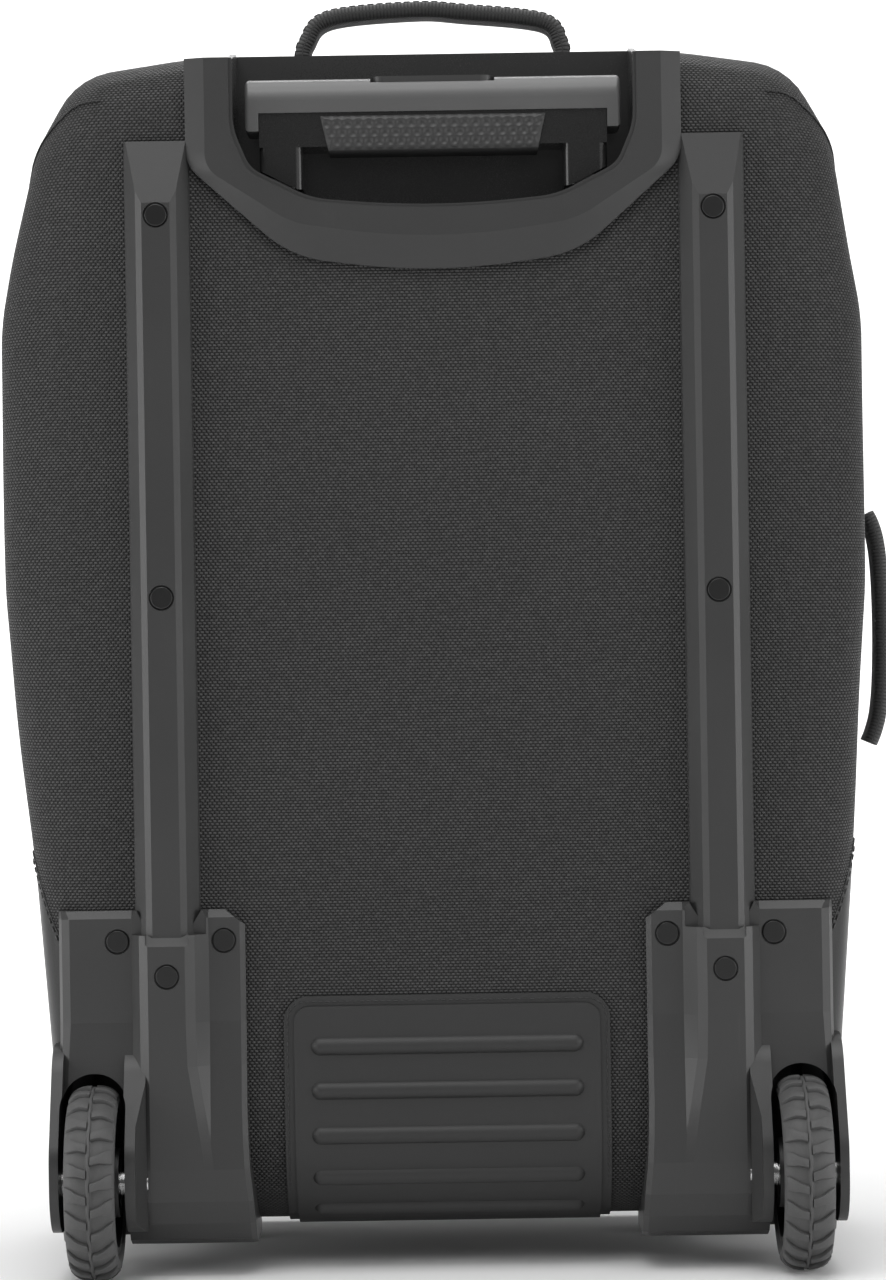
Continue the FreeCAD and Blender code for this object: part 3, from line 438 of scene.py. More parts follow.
@dataclass(frozen=True)
class Plastic(Finish):
    """Moulded plastic with a fine spark-eroded grain and scattered scuffs."""

    tone: float = 0.05
    rough: float = 0.42
    grain: float = 0.00004
    pores: float = 2600.0
    scuff: float = 0.5

    def write(self, tree: Tree) -> None:
        """Fill in the shader.

        Args:
            tree: the material's tree.
        """
        grain = tree.speckle(self.pores, 1.0)
        cloud = tree.speckle(14.0, 4.0)
        scrape = tree.speckle(420.0, 3.0, (1.0, 1.0, 0.05)).smooth(0.62, 0.78) * cloud.smooth(0.5, 0.7)
        tone = 0.35 * grain + 0.45 * cloud + self.scuff * scrape
        colour = tree.blend(tone, grey(self.tone * 0.78), grey(self.tone * 1.3))
        tree.bump(grain + 0.4 * scrape, self.grain)
        rough = self.rough + 0.12 * (cloud - 0.5) + 0.08 * (grain - 0.5) + 0.1 * scrape
        tree.fill(tree.shader, {"Base Color": colour, "Roughness": rough, "Specular IOR Level": 0.5})


@dataclass(frozen=True)
class Metal(Finish):
    """Drawn or turned metal, with a brushed direction."""

    tone: float = 0.5
    rough: float = 0.3
    brush: Sequence[float] = (1.0, 1.0, 0.04)

    def write(self, tree: Tree) -> None:
        """Fill in the shader.

        Args:
            tree: the material's tree.
        """
        lines = tree.speckle(2500.0, 2.0, self.brush)
        cloud = tree.speckle(40.0, 3.0)
        colour = tree.blend(0.6 * lines + 0.4 * cloud, grey(self.tone * 0.85), grey(self.tone * 1.12))
        tree.bump(lines, 0.00002)
        rough = self.rough + 0.14 * (lines - 0.5) + 0.1 * (cloud - 0.5)
        tree.fill(tree.shader, {"Base Color": colour, "Roughness": rough, "Metallic": 1.0})


@dataclass(frozen=True)
class Rubber(Finish):
    """Moulded rubber, with patches of dust."""

    tone: float = 0.07
    rough: float = 0.62
    dust: float = 0.35

    def write(self, tree: Tree) -> None:
        """Fill in the shader.

        Args:
            tree: the material's tree.
        """
        cloud, fine = tree.speckle(60.0, 4.0), tree.speckle(1800.0, 2.0)
        colour = tree.blend(
            self.dust * cloud + 0.5 * fine, grey(self.tone * 0.72), grey(self.tone * 1.45)
        )
        tree.bump(fine, 0.00006)
        tree.fill(tree.shader, {"Base Color": colour, "Roughness": self.rough + 0.16 * (cloud - 0.5)})


@dataclass(frozen=True)
class StudioPaper(Finish):
    """Pale seamless paper under and behind the bag."""

    tone: float = 0.86

    def write(self, tree: Tree) -> None:
        """Fill in the shader.

        Args:
            tree: the material's tree.
        """
        fine = tree.speckle(6.0, 2.0)
        colour = tree.blend(fine, grey(self.tone * 0.99), grey(self.tone * 1.01))
        tree.fill(tree.shader, {"Base Color": colour, "Roughness": 0.9, "Specular IOR Level": 0.1})


# ---- layout and mesh helpers ---------------------------------------------------------------------
@dataclass(frozen=True)
class Layout:
    """Turns bag sizes (mm from the middle, the hard back and the floor) into the row frame."""

    middle: float
    back: float

    @classmethod
    def read(cls) -> "Layout":
        """Take the middle and the back panel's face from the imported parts."""
        low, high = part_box("handle_bezel")
        return cls((low.x + high.x) / 2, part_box("back_panel")[0].y)

    def at(self, x: float, y: float, z: float) -> Vector:
        """A point in the row frame, in metres.

        Args:
            x: mm right of the middle.
            y: mm in front of the hard back's face.
            z: mm above the floor.

        Returns:
            The point.
        """
        return Vector((self.middle + x * MM, self.back + y * MM, z * MM))


LAYOUT = Layout.read()


def ease(value: float, low: float, high: float) -> float:
    """Rise smoothly from 0 at low to 1 at high."""
    share = min(max((value - low) / (high - low), 0.0), 1.0)
    return share * share * (3 - 2 * share)


def make_mesh(
    name: str,
    points: Sequence[Vector],
    faces: Sequence[Sequence[int]],
    charts: Callable[[int, int], Pair] | None = None,
) -> bpy.types.Object:
    """Make an object from points and faces.

    Args:
        name: the piece's name.
        points: its corners in the row frame.
        faces: corner numbers of each face.
        charts: cloth position of a corner, from face number and corner number.

    Returns:
        The object, linked to the scene and smooth shaded.
    """
    mesh = bpy.data.meshes.new(name)
    mesh.from_pydata([tuple(p) for p in points], [], [tuple(f) for f in faces])
    if charts is not None:
        layer = mesh.uv_layers.new(name="Weave")
        for number, polygon in enumerate(mesh.polygons):
            for loop in polygon.loop_indices:
                layer.data[loop].uv = charts(number, mesh.loops[loop].vertex_index)
    mesh.shade_smooth()
    made = bpy.data.objects.new(name, mesh)
    bpy.context.scene.collection.objects.link(made)
    return made


@contextmanager
def editing(made: bpy.types.Object) -> Iterator[bmesh.types.BMesh]:
    """Open a piece's mesh for editing, and write it back afterwards.

    Args:
        made: the piece.

    Returns:
        A context that gives the editable mesh.
    """
    shape = bmesh.new()
    shape.from_mesh(made.data)
    yield shape
    shape.to_mesh(made.data)
    shape.free()


def turn_outward(made: bpy.types.Object) -> None:
    """Make every face of a closed piece look outwards.

    Args:
        made: the piece.
    """
    with editing(made) as shape:
        bmesh.ops.remove_doubles(shape, verts=shape.verts, dist=1e-6)
        bmesh.ops.recalc_face_normals(shape, faces=shape.faces)


def grid_faces(tall: int, wide: int) -> list[Face]:
    """Number the faces of a flat grid of corners, row by row.

    Args:
        tall: cells up.
        wide: cells across.

    Returns:
        Corner numbers of each face.
    """
    step = wide + 1
    return [
        (r * step + c, r * step + c + 1, (r + 1) * step + c + 1, (r + 1) * step + c)
        for r in range(tall) for c in range(wide)
    ]


def ring_faces(rings: int, sides: int, closed: bool = False) -> list[Face]:
    """Number the faces between rings of corners.

    Args:
        rings: how many rings.
        sides: corners in each ring.
        closed: whether the last ring joins the first.

    Returns:
        Corner numbers of each face.
    """
    return [
        (i * sides + j, i * sides + (j + 1) % sides,
         (i + 1) % rings * sides + (j + 1) % sides, (i + 1) % rings * sides + j)
        for i in range(rings if closed else rings - 1)
        for j in range(sides)
    ]


def round_section(across: float, out: float) -> list[Pair]:
    """An oval cord's section.

    Args:
        across: half its width in metres.
        out: half its height in metres.

    Returns:
        Offsets for sweep.
    """
    return [(across * math.cos(a), out * math.sin(a)) for a in (k * math.pi / 4 for k in range(8))]


def thicken(made: bpy.types.Object, depth: float) -> None:
    """Give a cloth its thickness, with the second finish as its lining.

    Args:
        made: the cloth.
        depth: its thickness in mm.
    """
    thick = made.modifiers.new("cloth_thickness", "SOLIDIFY")
    thick.thickness = depth * MM
    thick.offset = -1
    thick.material_offset = 1
    thick.material_offset_rim = 1


def soften(made: bpy.types.Object, name: str, width: float, degrees: float) -> bpy.types.Modifier:
    """Round a piece's sharp edges.

    Args:
        made: the piece.
        name: the modifier's name.
        width: mm of the rounding.
        degrees: least angle that counts as sharp.

    Returns:
        The modifier.
    """
    edge = made.modifiers.new(name, "BEVEL")
    edge.width, edge.segments = width * MM, 2
    edge.limit_method, edge.angle_limit = "ANGLE", math.radians(degrees)
    return edge


def sweep(
    name: str, path: Sequence[Vector], across: Vector, section: Sequence[Pair], closed: bool = False
) -> bpy.types.Object:
    """Carry a section along a path that lies in one plane.

    Args:
        name: the piece's name.
        path: points of the path, in metres.
        across: unit vector square to the path's plane.
        section: (across, outward) offsets in metres.
        closed: whether the path is a loop.

    Returns:
        The swept object, with its cloth positions along the path.
    """
    count, sides = len(path), len(section)
    points: list[Vector] = []
    run, runs = 0.0, []
    for i, here in enumerate(path):
        before = path[i - 1] if i or closed else here
        after = path[(i + 1) % count] if i < count - 1 or closed else here
        tangent = (after - before).normalized()
        out = tangent.cross(across)
        points += [here + across * a + out * b for a, b in section]
        runs.append(run)
        run += (path[(i + 1) % count] - here).length
    faces = ring_faces(count, sides, closed)
    if not closed:
        faces += [tuple(range(sides)), tuple(range((count - 1) * sides, count * sides))]
    made = make_mesh(name, points, faces, lambda _, c: (section[c % sides][0], runs[c // sides]))
    turn_outward(made)
    return made


def band_section(width: float, low: float, high: float, bead: float = 0.0) -> list[Pair]:
    """A strap's rounded section.

    Args:
        width: full width in metres.
        low: inner side's offset.
        high: outer side's offset.
        bead: extra thickness at the two bound edges.

    Returns:
        Offsets for sweep.
    """
    half, radius = width / 2, (high - low) / 2
    middle = (high + low) / 2
    right = [
        (half - radius + (radius + bead) * math.cos(a), middle + (radius + bead) * math.sin(a))
        for a in (math.radians(d) for d in range(-90, 91, 30))
    ]
    return right + [(-a, b) for a, b in reversed(right)]


def dashes(
    name: str, path: Sequence[Vector], pitch: float = 4.2, length: float = 3.0, radius: float = 0.38
) -> bpy.types.Object:
    """A row of raised stitches along a path.

    Args:
        name: the piece's name.
        path: points along the seam, in metres.
        pitch: mm from one stitch to the next.
        length: mm of each stitch.
        radius: mm thickness of the thread.

    Returns:
        The stitches, as one object.
    """
    spots = walk(path, pitch * MM)
    points: list[Vector] = []
    faces: list[Face] = []
    for here, along in spots:
        side = along.orthogonal().normalized()
        other = along.cross(side)
        first = len(points)
        for shift, swell in ((-0.5, 0.35), (-0.36, 0.95), (0.36, 0.95), (0.5, 0.35)):
            centre = here + along * shift * length * MM
            points += [
                centre + (side * math.cos(a) + other * math.sin(a)) * radius * MM * swell
                for a in (k * math.pi / 3 for k in range(6))
            ]
        for ring in range(3):
            a = first + ring * 6
            faces += [(a + k, a + (k + 1) % 6, a + 6 + (k + 1) % 6, a + 6 + k) for k in range(6)]
        faces += [tuple(range(first, first + 6)), tuple(range(first + 18, first + 24))]
    made = make_mesh(name, points, faces, lambda _, c: (points[c].x, points[c].z))
    turn_outward(made)
    return made


def walk(path: Sequence[Vector], step: float, lead: float = 0.5) -> list[tuple[Vector, Vector]]:
    """Points at even steps along a path.

    Args:
        path: the path's points.
        step: distance between steps.
        lead: steps before the first point.

    Returns:
        (point, direction) pairs.
    """
    found: list[tuple[Vector, Vector]] = []
    wait = step * lead
    for start, end in zip(path, path[1:]):
        reach = (end - start).length
        if reach < 1e-9:
            continue
        along = (end - start) / reach
        while wait <= reach:
            found.append((start + along * wait, along))
            wait += step
        wait -= reach
    return found


def give(made: bpy.types.Object, finishes: Sequence[Finish], body: str) -> bpy.types.Object:
    """Dress a piece and let it ride on its body.

    Args:
        made: the piece.
        finishes: one finish for each of its material slots.
        body: the body that it moves with.

    Returns:
        The piece.
    """
    made.data.materials.clear()
    for finish in finishes:
        made.data.materials.append(finish.make())
    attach(made, body)
    LOG.info("%s rides on %s", made.name, body)
    return made


CASE_WEAVE = BallisticWeave("ballistic_weave_case", coated=True)
LID_WEAVE = BallisticWeave("ballistic_weave_lid")
POCKET_WEAVE = BallisticWeave("ballistic_weave_pocket", mapping=Mapping.BOX)
RIPSTOP = Lining("grey_ripstop")
STRAP = Webbing("ribbed_webbing")
TAPE = Webbing("zip_tape_weave", tone=0.022, rib=0.0009, cord=0.0012)
COIL = Plastic("zip_coil_nylon", tone=0.03, rough=0.32, grain=0.00001)
THREAD = Rubber("sewing_thread", tone=0.03, rough=0.55)
TYRE_RUBBER = Rubber("tyre_rubber_skin", tone=0.068)
GRIP_RUBBER = Rubber("grip_rubber_skin", tone=0.026, rough=0.48)


# ---- soft case -----------------------------------------------------------------------------------
class Outline:
    """The case seen from behind, as an even run of points with outward directions."""

    HALF = (
        (110.0, 538.0, 80.0), (158.0, 531.0, 32.0), (177.0, 498.0, 60.0),
        (191.5, 420.0, 120.0), (191.5, 300.0, 250.0), (170.0, 19.0, 40.0),
    )

    def __init__(self, count: int = 1440) -> None:
        """Round the corners and space the points evenly.

        Args:
            count: points round the whole outline.
        """
        corners = list(self.HALF) + [(-x, z, r) for x, z, r in reversed(self.HALF)]
        rounded: list[Vector] = []
        for i, (x, z, r) in enumerate(corners):
            here = Vector((x, z))
            a = (Vector(corners[i - 1][:2]) - here).normalized()
            b = (Vector(corners[(i + 1) % len(corners)][:2]) - here).normalized()
            half = math.acos(max(-1.0, min(1.0, a.dot(b)))) / 2
            reach = r / math.tan(half)
            centre = here + (a + b).normalized() * (r / math.sin(half))
            start, end = here + a * reach - centre, here + b * reach - centre
            turn = math.atan2(start.x * end.y - start.y * end.x, start.dot(end))
            first = math.atan2(start.y, start.x)
            rounded += [
                centre + Vector((math.cos(first + turn * k / 16), math.sin(first + turn * k / 16))) * r
                for k in range(17)
            ]
        spots = [Vector((p.x, p.y, 0)) for p in rounded]
        lengths = [(spots[(i + 1) % len(spots)] - p).length for i, p in enumerate(spots)]
        self.total = sum(lengths)
        middle = Vector((0.0, 538.0, 0.0))
        even = walk([middle] + spots + [middle], self.total / count, 0.0)[:count]
        self.points = [p for p, _ in even]
        self.count = len(self.points)
        self.normals = [
            Vector((d.y, -d.x, 0)) * (-1 if Vector((d.y, -d.x, 0)).dot(p - Vector((0, 280, 0))) < 0 else 1)
            for p, d in even
        ]
        self.normals = [
            sum((self.normals[(i + k) % self.count] for k in range(-4, 5)), Vector()).normalized()
            for i in range(self.count)
        ]

    def at(self, share: float) -> tuple[Vector, Vector]:
        """Point and outward direction at a share of the way round."""
        i = int(round(share * self.count)) % self.count
        return self.points[i], self.normals[i]

    def find(self, side: int, height: float) -> float:
        """The share of the way round at a height on one side.

        Args:
            side: 1 for the right, -1 for the left.
            height: mm above the floor.

        Returns:
            The share.
        """
        best = min(
            (i for i, p in enumerate(self.points) if p.x * side > 120),
            key=lambda i: abs(self.points[i].y - height),
        )
        return best / self.count


OUTLINE = Outline()


@dataclass
class SoftShell:
    """Half of the case: a panel, a rounded edge and a gusset, as one sagging sheet."""

    name: str
    panel: float
    opening: float
    toward: float
    edge: float = 26.0
    heel: float = 26.0
    cloth: float = 2.6
    columns: int = 288
    ring_rows: int = 18
    edge_rows: int = 9
    panel_rows: int = 24

    def radius(self, point: Vector, normal: Vector) -> float:
        """Edge radius, larger along the middle of the foot."""
        share = (1 - ease(abs(point.x), 90, 134)) * (normal.y < -0.9)
        return self.edge + (self.heel - self.edge) * share

    def bulge(self, point: Vector, normal: Vector, depth: float) -> float:
        """How far the gusset swells outwards, in mm."""
        return 0.0

    def crown(self, x: float, z: float) -> float:
        """How far the panel swells outwards, in mm."""
        return 0.0

    def skin(self, share: float, depth: float, lift: float = 0.0) -> Vector:
        """A point on the gusset or the rounded edge.

        Args:
            share: how far round the outline.
            depth: mm behind the panel's plane.
            lift: mm above the cloth.

        Returns:
            The point in the row frame.
        """
        point, normal = OUTLINE.at(share)
        radius = self.radius(point, normal)
        lean = math.asin(max(0.0, min(1.0, 1 - depth / radius))) if depth < radius else 0.0
        inset = radius * (1 - math.cos(lean))
        out = self.bulge(point, normal, depth) * math.cos(lean)
        spot = point + normal * (out - inset + lift * math.cos(lean))
        y = self.panel + self.toward * (depth - lift * math.sin(lean))
        return LAYOUT.at(spot.x, y, spot.y)

    def build(self) -> bpy.types.Object:
        """Make the sheet, with its cloth positions.

        Returns:
            The object, not yet cut or lined.
        """
        reach = abs(self.opening - self.panel)
        points: list[Vector] = []
        flat: list[Pair] = []
        round_: list[Pair] = []
        for column in range(self.columns):
            share = column / self.columns
            point, normal = OUTLINE.at(share)
            radius = self.radius(point, normal)
            run = share * OUTLINE.total
            for row in range(self.ring_rows + self.edge_rows + 1):
                if row <= self.ring_rows:
                    depth = reach + (radius - reach) * row / self.ring_rows
                    unrolled = radius * math.pi / 2 + depth - radius
                else:
                    lean = (row - self.ring_rows) / self.edge_rows * math.pi / 2
                    depth, unrolled = radius * (1 - math.sin(lean)), radius * (math.pi / 2 - lean)
                points.append(self.skin(share, depth))
                spread = point + normal * (unrolled - radius)
                flat.append((spread.x * MM, spread.y * MM))
                round_.append((unrolled * MM, run * MM))
            foot = point - normal * radius
            spine = Vector((0.0, min(max(foot.y, 195.0), 400.0), 0.0))
            for row in range(1, self.panel_rows + 1):
                spot = foot.lerp(spine, row / self.panel_rows)
                y = self.panel - self.toward * self.crown(spot.x, spot.y)
                points.append(LAYOUT.at(spot.x, y, spot.y))
                flat.append((spot.x * MM, spot.y * MM))
                round_.append(flat[-1])
        rows = self.ring_rows + self.edge_rows + 1 + self.panel_rows
        faces, ring = [], []
        for column in range(self.columns):
            following = (column + 1) % self.columns
            normal = OUTLINE.at(column / self.columns)[1]
            for row in range(rows - 1):
                a, b = column * rows + row, following * rows + row
                faces.append((a, b, b + 1, a + 1))
                ring.append(row < self.ring_rows and abs(normal.y) > 0.35 and following != 0)
        return make_mesh(self.name, points, faces, lambda f, c: round_[c] if ring[f] else flat[c])

    def finish_cloth(self, made: bpy.types.Object) -> None:
        """Weld the spine, face the cloth outwards and give it its thickness and lining.

        Args:
            made: the sheet.
        """
        with editing(made) as shape:
            bmesh.ops.remove_doubles(shape, verts=shape.verts, dist=1e-4)
            bmesh.ops.recalc_face_normals(shape, faces=shape.faces)
            panel = [f for f in shape.faces if abs(f.normal.y) > 0.95]
            if sum(f.normal.y for f in panel) * self.toward > 0:
                bmesh.ops.reverse_faces(shape, faces=shape.faces)
        made.data.materials.clear()
        thicken(made, self.cloth)

    @staticmethod
    def cut_out(made: bpy.types.Object, planes: Sequence[tuple], inside: Callable) -> None:
        """Cut a clean hole.

        Args:
            made: the sheet.
            planes: (axis letter or unit normal, mm) planes that bound the hole.
            inside: tells whether a face centre, in bag mm, is in the hole.
        """
        zero, margin = LAYOUT.at(0, 0, 0), 14.0
        with editing(made) as shape:
            for axis, value in planes:
                normal = Vector((axis == "x", axis == "y", axis == "z")) if isinstance(axis, str) else axis
                spot = zero + normal * value * MM
                near = [f for f in shape.faces if inside((f.calc_center_median() - zero) / MM, margin)]
                edges = list({e for f in near for e in f.edges})
                verts = list({v for f in near for v in f.verts})
                bmesh.ops.bisect_plane(
                    shape, geom=near + edges + verts, plane_co=spot, plane_no=normal, dist=1e-6
                )
            doomed = [f for f in shape.faces if inside((f.calc_center_median() - zero) / MM, 0.0)]
            bmesh.ops.delete(shape, geom=doomed, context="FACES")


@dataclass
class CaseBody(SoftShell):
    """The main case: hard-backed panel, soft sides that bow and crease near the foot."""

    name: str = "case_shell"
    panel: float = 0.0
    opening: float = 149.8
    toward: float = 1.0
    heel: float = 48.0
    tray_edge: tuple[Pair, ...] = ((0.0, 464.4), (56.5, 469.3), (83.6, 482.9), (91.4, 501.5))
    tray_half: float = 91.4
    tray_depth: float = 48.6
    well_sides: Pair = (137.4, 172.2)
    well_depth: float = 40.4
    well_top: float = 93.0

    def bulge(self, point: Vector, normal: Vector, depth: float) -> float:
        """How far the gusset swells outwards, in mm.

        Args:
            point: place on the outline.
            normal: outward direction there.
            depth: mm in front of the hard back.

        Returns:
            The swelling; the left side is fuller than the right.
        """
        hold = math.sin(math.pi * min(max(depth / 150.0, 0.0), 1.0)) ** 0.8
        height = ease(point.y, 165, 260) * (1 - ease(point.y, 440, 505))
        swell = (4.4 if point.x < 0 else -3.4) * abs(normal.x) * height * hold
        low = (1 - ease(point.y, 150, 185)) * ease(point.y, 20, 60) * ease(depth, 42, 70) * hold
        spot = Vector((point.x * 0.01, depth * 0.022, point.y * 0.055))
        crease = noise.noise(spot + Vector((3.1, 0.0, 1.7))) + 0.5 * noise.noise(spot * 2.3)
        top = -2.2 * ease(normal.y, 0.6, 0.95) * hold * ease(depth, 40, 80)
        soft = 0.9 * noise.noise(Vector((point.x * 0.012, depth * 0.02, point.y * 0.012))) * hold * height
        above = 1.3 * (1 - ease(abs(point.y - 168), 0, 16)) * ease(depth, 30, 60) * hold * abs(normal.x)
        return swell + low * (1.6 + 3.2 * crease) * abs(normal.x) + top + soft + above

    def make(self) -> None:
        """Build the case, its seams and the lining behind the board."""
        shell = self.build()
        half, (near, far) = self.tray_half, self.well_sides
        self.cut_out(
            shell, (("x", half), ("x", -half), ("y", self.tray_depth)),
            lambda p, slack: abs(p.x) < half + slack and 0.3 < p.y < self.tray_depth + slack and p.z > 505,
        )
        self.cut_out(
            shell, self.tray_planes(), lambda p, slack: p.y < 1.0 and self.under_bezel(p.x, p.z, slack),
        )
        self.cut_out(
            shell,
            (
                ("x", near), ("x", -near), ("x", far), ("x", -far),
                ("y", self.well_depth), ("z", self.well_top),
            ),
            lambda p, slack: near - slack < abs(p.x) < far + slack
            and p.y < self.well_depth + slack and p.z < self.well_top + slack,
        )
        self.finish_cloth(shell)
        give(shell, (CASE_WEAVE, RIPSTOP), "bag")
        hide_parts("back_panel", "left_gusset", "right_gusset", "top_gusset", "bottom_gusset")
        self.seams()
        self.tube_cover()
        LOG.info("case shell: %d faces", len(shell.data.polygons))

    def tray_planes(self) -> list[tuple]:
        """The planes of the hole that the handle recess passes through.

        Returns:
            (normal, mm) pairs for both sides.
        """
        planes: list[tuple] = []
        for side in (-1, 1):
            planes.append(("x", side * self.tray_edge[-1][0]))
            for (xa, za), (xb, zb) in zip(self.tray_edge, self.tray_edge[1:]):
                normal = Vector((side * (zb - za), 0.0, xa - xb)).normalized()
                planes.append((normal, normal.x * side * xa + normal.z * za))
        return planes

    def under_bezel(self, x: float, z: float, slack: float = 0.0) -> bool:
        """Tell whether a place on the back panel lies in the hole for the handle recess.

        Args:
            x: mm from the middle line.
            z: mm above the floor.
            slack: mm that the hole is grown by.

        Returns:
            True inside the hole.
        """
        reach = self.tray_edge[-1][0]
        if abs(x) > reach + slack:
            return False
        across = min(abs(x), reach - 0.001)
        for (xa, za), (xb, zb) in zip(self.tray_edge, self.tray_edge[1:]):
            if xa <= across <= xb:
                return z > za + (zb - za) * (across - xa) / (xb - xa) - slack
        return False

    def seams(self) -> None:
        """Sew the shoulder darts and the slanting seams above the coated band."""
        for side, word in ((-1, "left"), (1, "right")):
            start, end = OUTLINE.find(side, 530.0), OUTLINE.find(side, 474.0)
            if abs(end - start) > 0.5:
                start += 1.0 if start < end else -1.0
            dart = [
                self.skin((start + (end - start) * k / 40) % 1.0, 3 + 34 * (k / 40) ** 1.4, 0.25)
                for k in range(41)
            ]
            slant = []
            for first, last, spots, lift in ((5, 44, 20, 0.25), (44, 146, 60, 0.3)):
                for k in range(spots):
                    depth = first + (last - first) * k / (spots - 1)
                    height = 118 + 68 * ease(depth, -10, 24)
                    slant.append(self.skin(OUTLINE.find(side, height), depth, lift))
            section = band_section(1.5 * MM, -0.35 * MM, 0.35 * MM)
            for path, piece, across in (
                (dart, "shoulder_dart", FORWARD), (slant, "side_seam", Vector((0, 0, 1))),
            ):
                cord = sweep(f"{word}_{piece}_fold", path, across, section)
                give(cord, (TAPE,), "bag")
                row = [p + Vector((0, 0, -0.0032)) for p in path]
                give(dashes(f"{word}_{piece}_stitches", row), (THREAD,), "bag")

    def tube_cover(self) -> None:
        """Line the inside of the case over the handle tubes."""
        low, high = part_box("tube_lining")
        wide, tall = 40, 60
        points = []
        for row in range(tall + 1):
            for column in range(wide + 1):
                a, b = column / wide, row / tall
                x = low.x + (high.x - low.x) * a
                z = low.z + (high.z - low.z) * b
                ridge = sum(math.exp(-(((x - LAYOUT.middle) / MM - c) / 16) ** 2) for c in (-67, 67))
                wave = noise.noise(Vector((x * 14, z * 9, 2.0)))
                loose = 0.0006 * (1 + wave) * min(a, 1 - a, b, 1 - b) * 8
                y = high.y - 0.0006 - 0.0022 * (1 - min(ridge, 1.0)) - loose
                points.append(Vector((x, max(y, low.y), z)))
        cover = make_mesh(
            "tube_cover_cloth", points, grid_faces(tall, wide), lambda _, c: (points[c].x, points[c].z)
        )
        cover.modifiers.new("cloth_thickness", "SOLIDIFY").thickness = 0.8 * MM
        give(cover, (RIPSTOP,), "bag")
        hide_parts("tube_lining")


@dataclass
class LidShell(SoftShell):
    """The zipped lid: a crowned panel that sags over its load."""

    name: str = "lid_shell"
    panel: float = 190.0
    opening: float = 150.2
    toward: float = -1.0
    ring_rows: int = 6

    def crown(self, x: float, z: float) -> float:
        """How far the panel swells outwards, in mm.

        Args:
            x: mm from the middle.
            z: mm above the floor.

        Returns:
            The swelling, fullest a little below the middle.
        """
        hold = max(0.0, 1 - (x / 165.0) ** 2) * max(0.0, 1 - ((z - 250) / 235.0) ** 2)
        ripple = noise.noise(Vector((x * 0.011, z * 0.016, 5.0)))
        clear = 1 - (1 - ease(abs(x), 152, 170)) * ease(z, 45, 62) * (1 - ease(z, 338, 372))
        return (5.0 * hold ** 0.6 + 1.6 * ripple * ease(hold, 0, 0.4)) * clear

    def bulge(self, point: Vector, normal: Vector, depth: float) -> float:
        """How far the lid's gusset swells outwards, in mm.

        Args:
            point: place on the outline.
            normal: outward direction there; not used.
            depth: mm behind the lid's face.

        Returns:
            The swelling.
        """
        hold = math.sin(math.pi * min(max(depth / 39.8, 0.0), 1.0))
        wave = noise.noise(Vector((point.x * 0.02, depth * 0.03, point.y * 0.03)))
        return (0.5 + 0.8 * wave) * hold

    def make(self) -> None:
        """Build the lid, its edge piping and stitches."""
        shell = self.build()
        self.finish_cloth(shell)
        give(shell, (LID_WEAVE, RIPSTOP), "lid")
        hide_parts("lid_panel", "lid_gusset")
        path = [self.skin(k / 360, 7.0, 0.8) for k in range(360)]
        piping = sweep("lid_piping", path, FORWARD, round_section(1.3 * MM, 1.3 * MM), closed=True)
        give(piping, (STRAP,), "lid")
        stitches = dashes("lid_edge_stitches", [self.skin(k / 720, 3.4, 0.2) for k in range(721)])
        give(stitches, (THREAD,), "lid")
        LOG.info("lid shell: %d faces", len(shell.data.polygons))


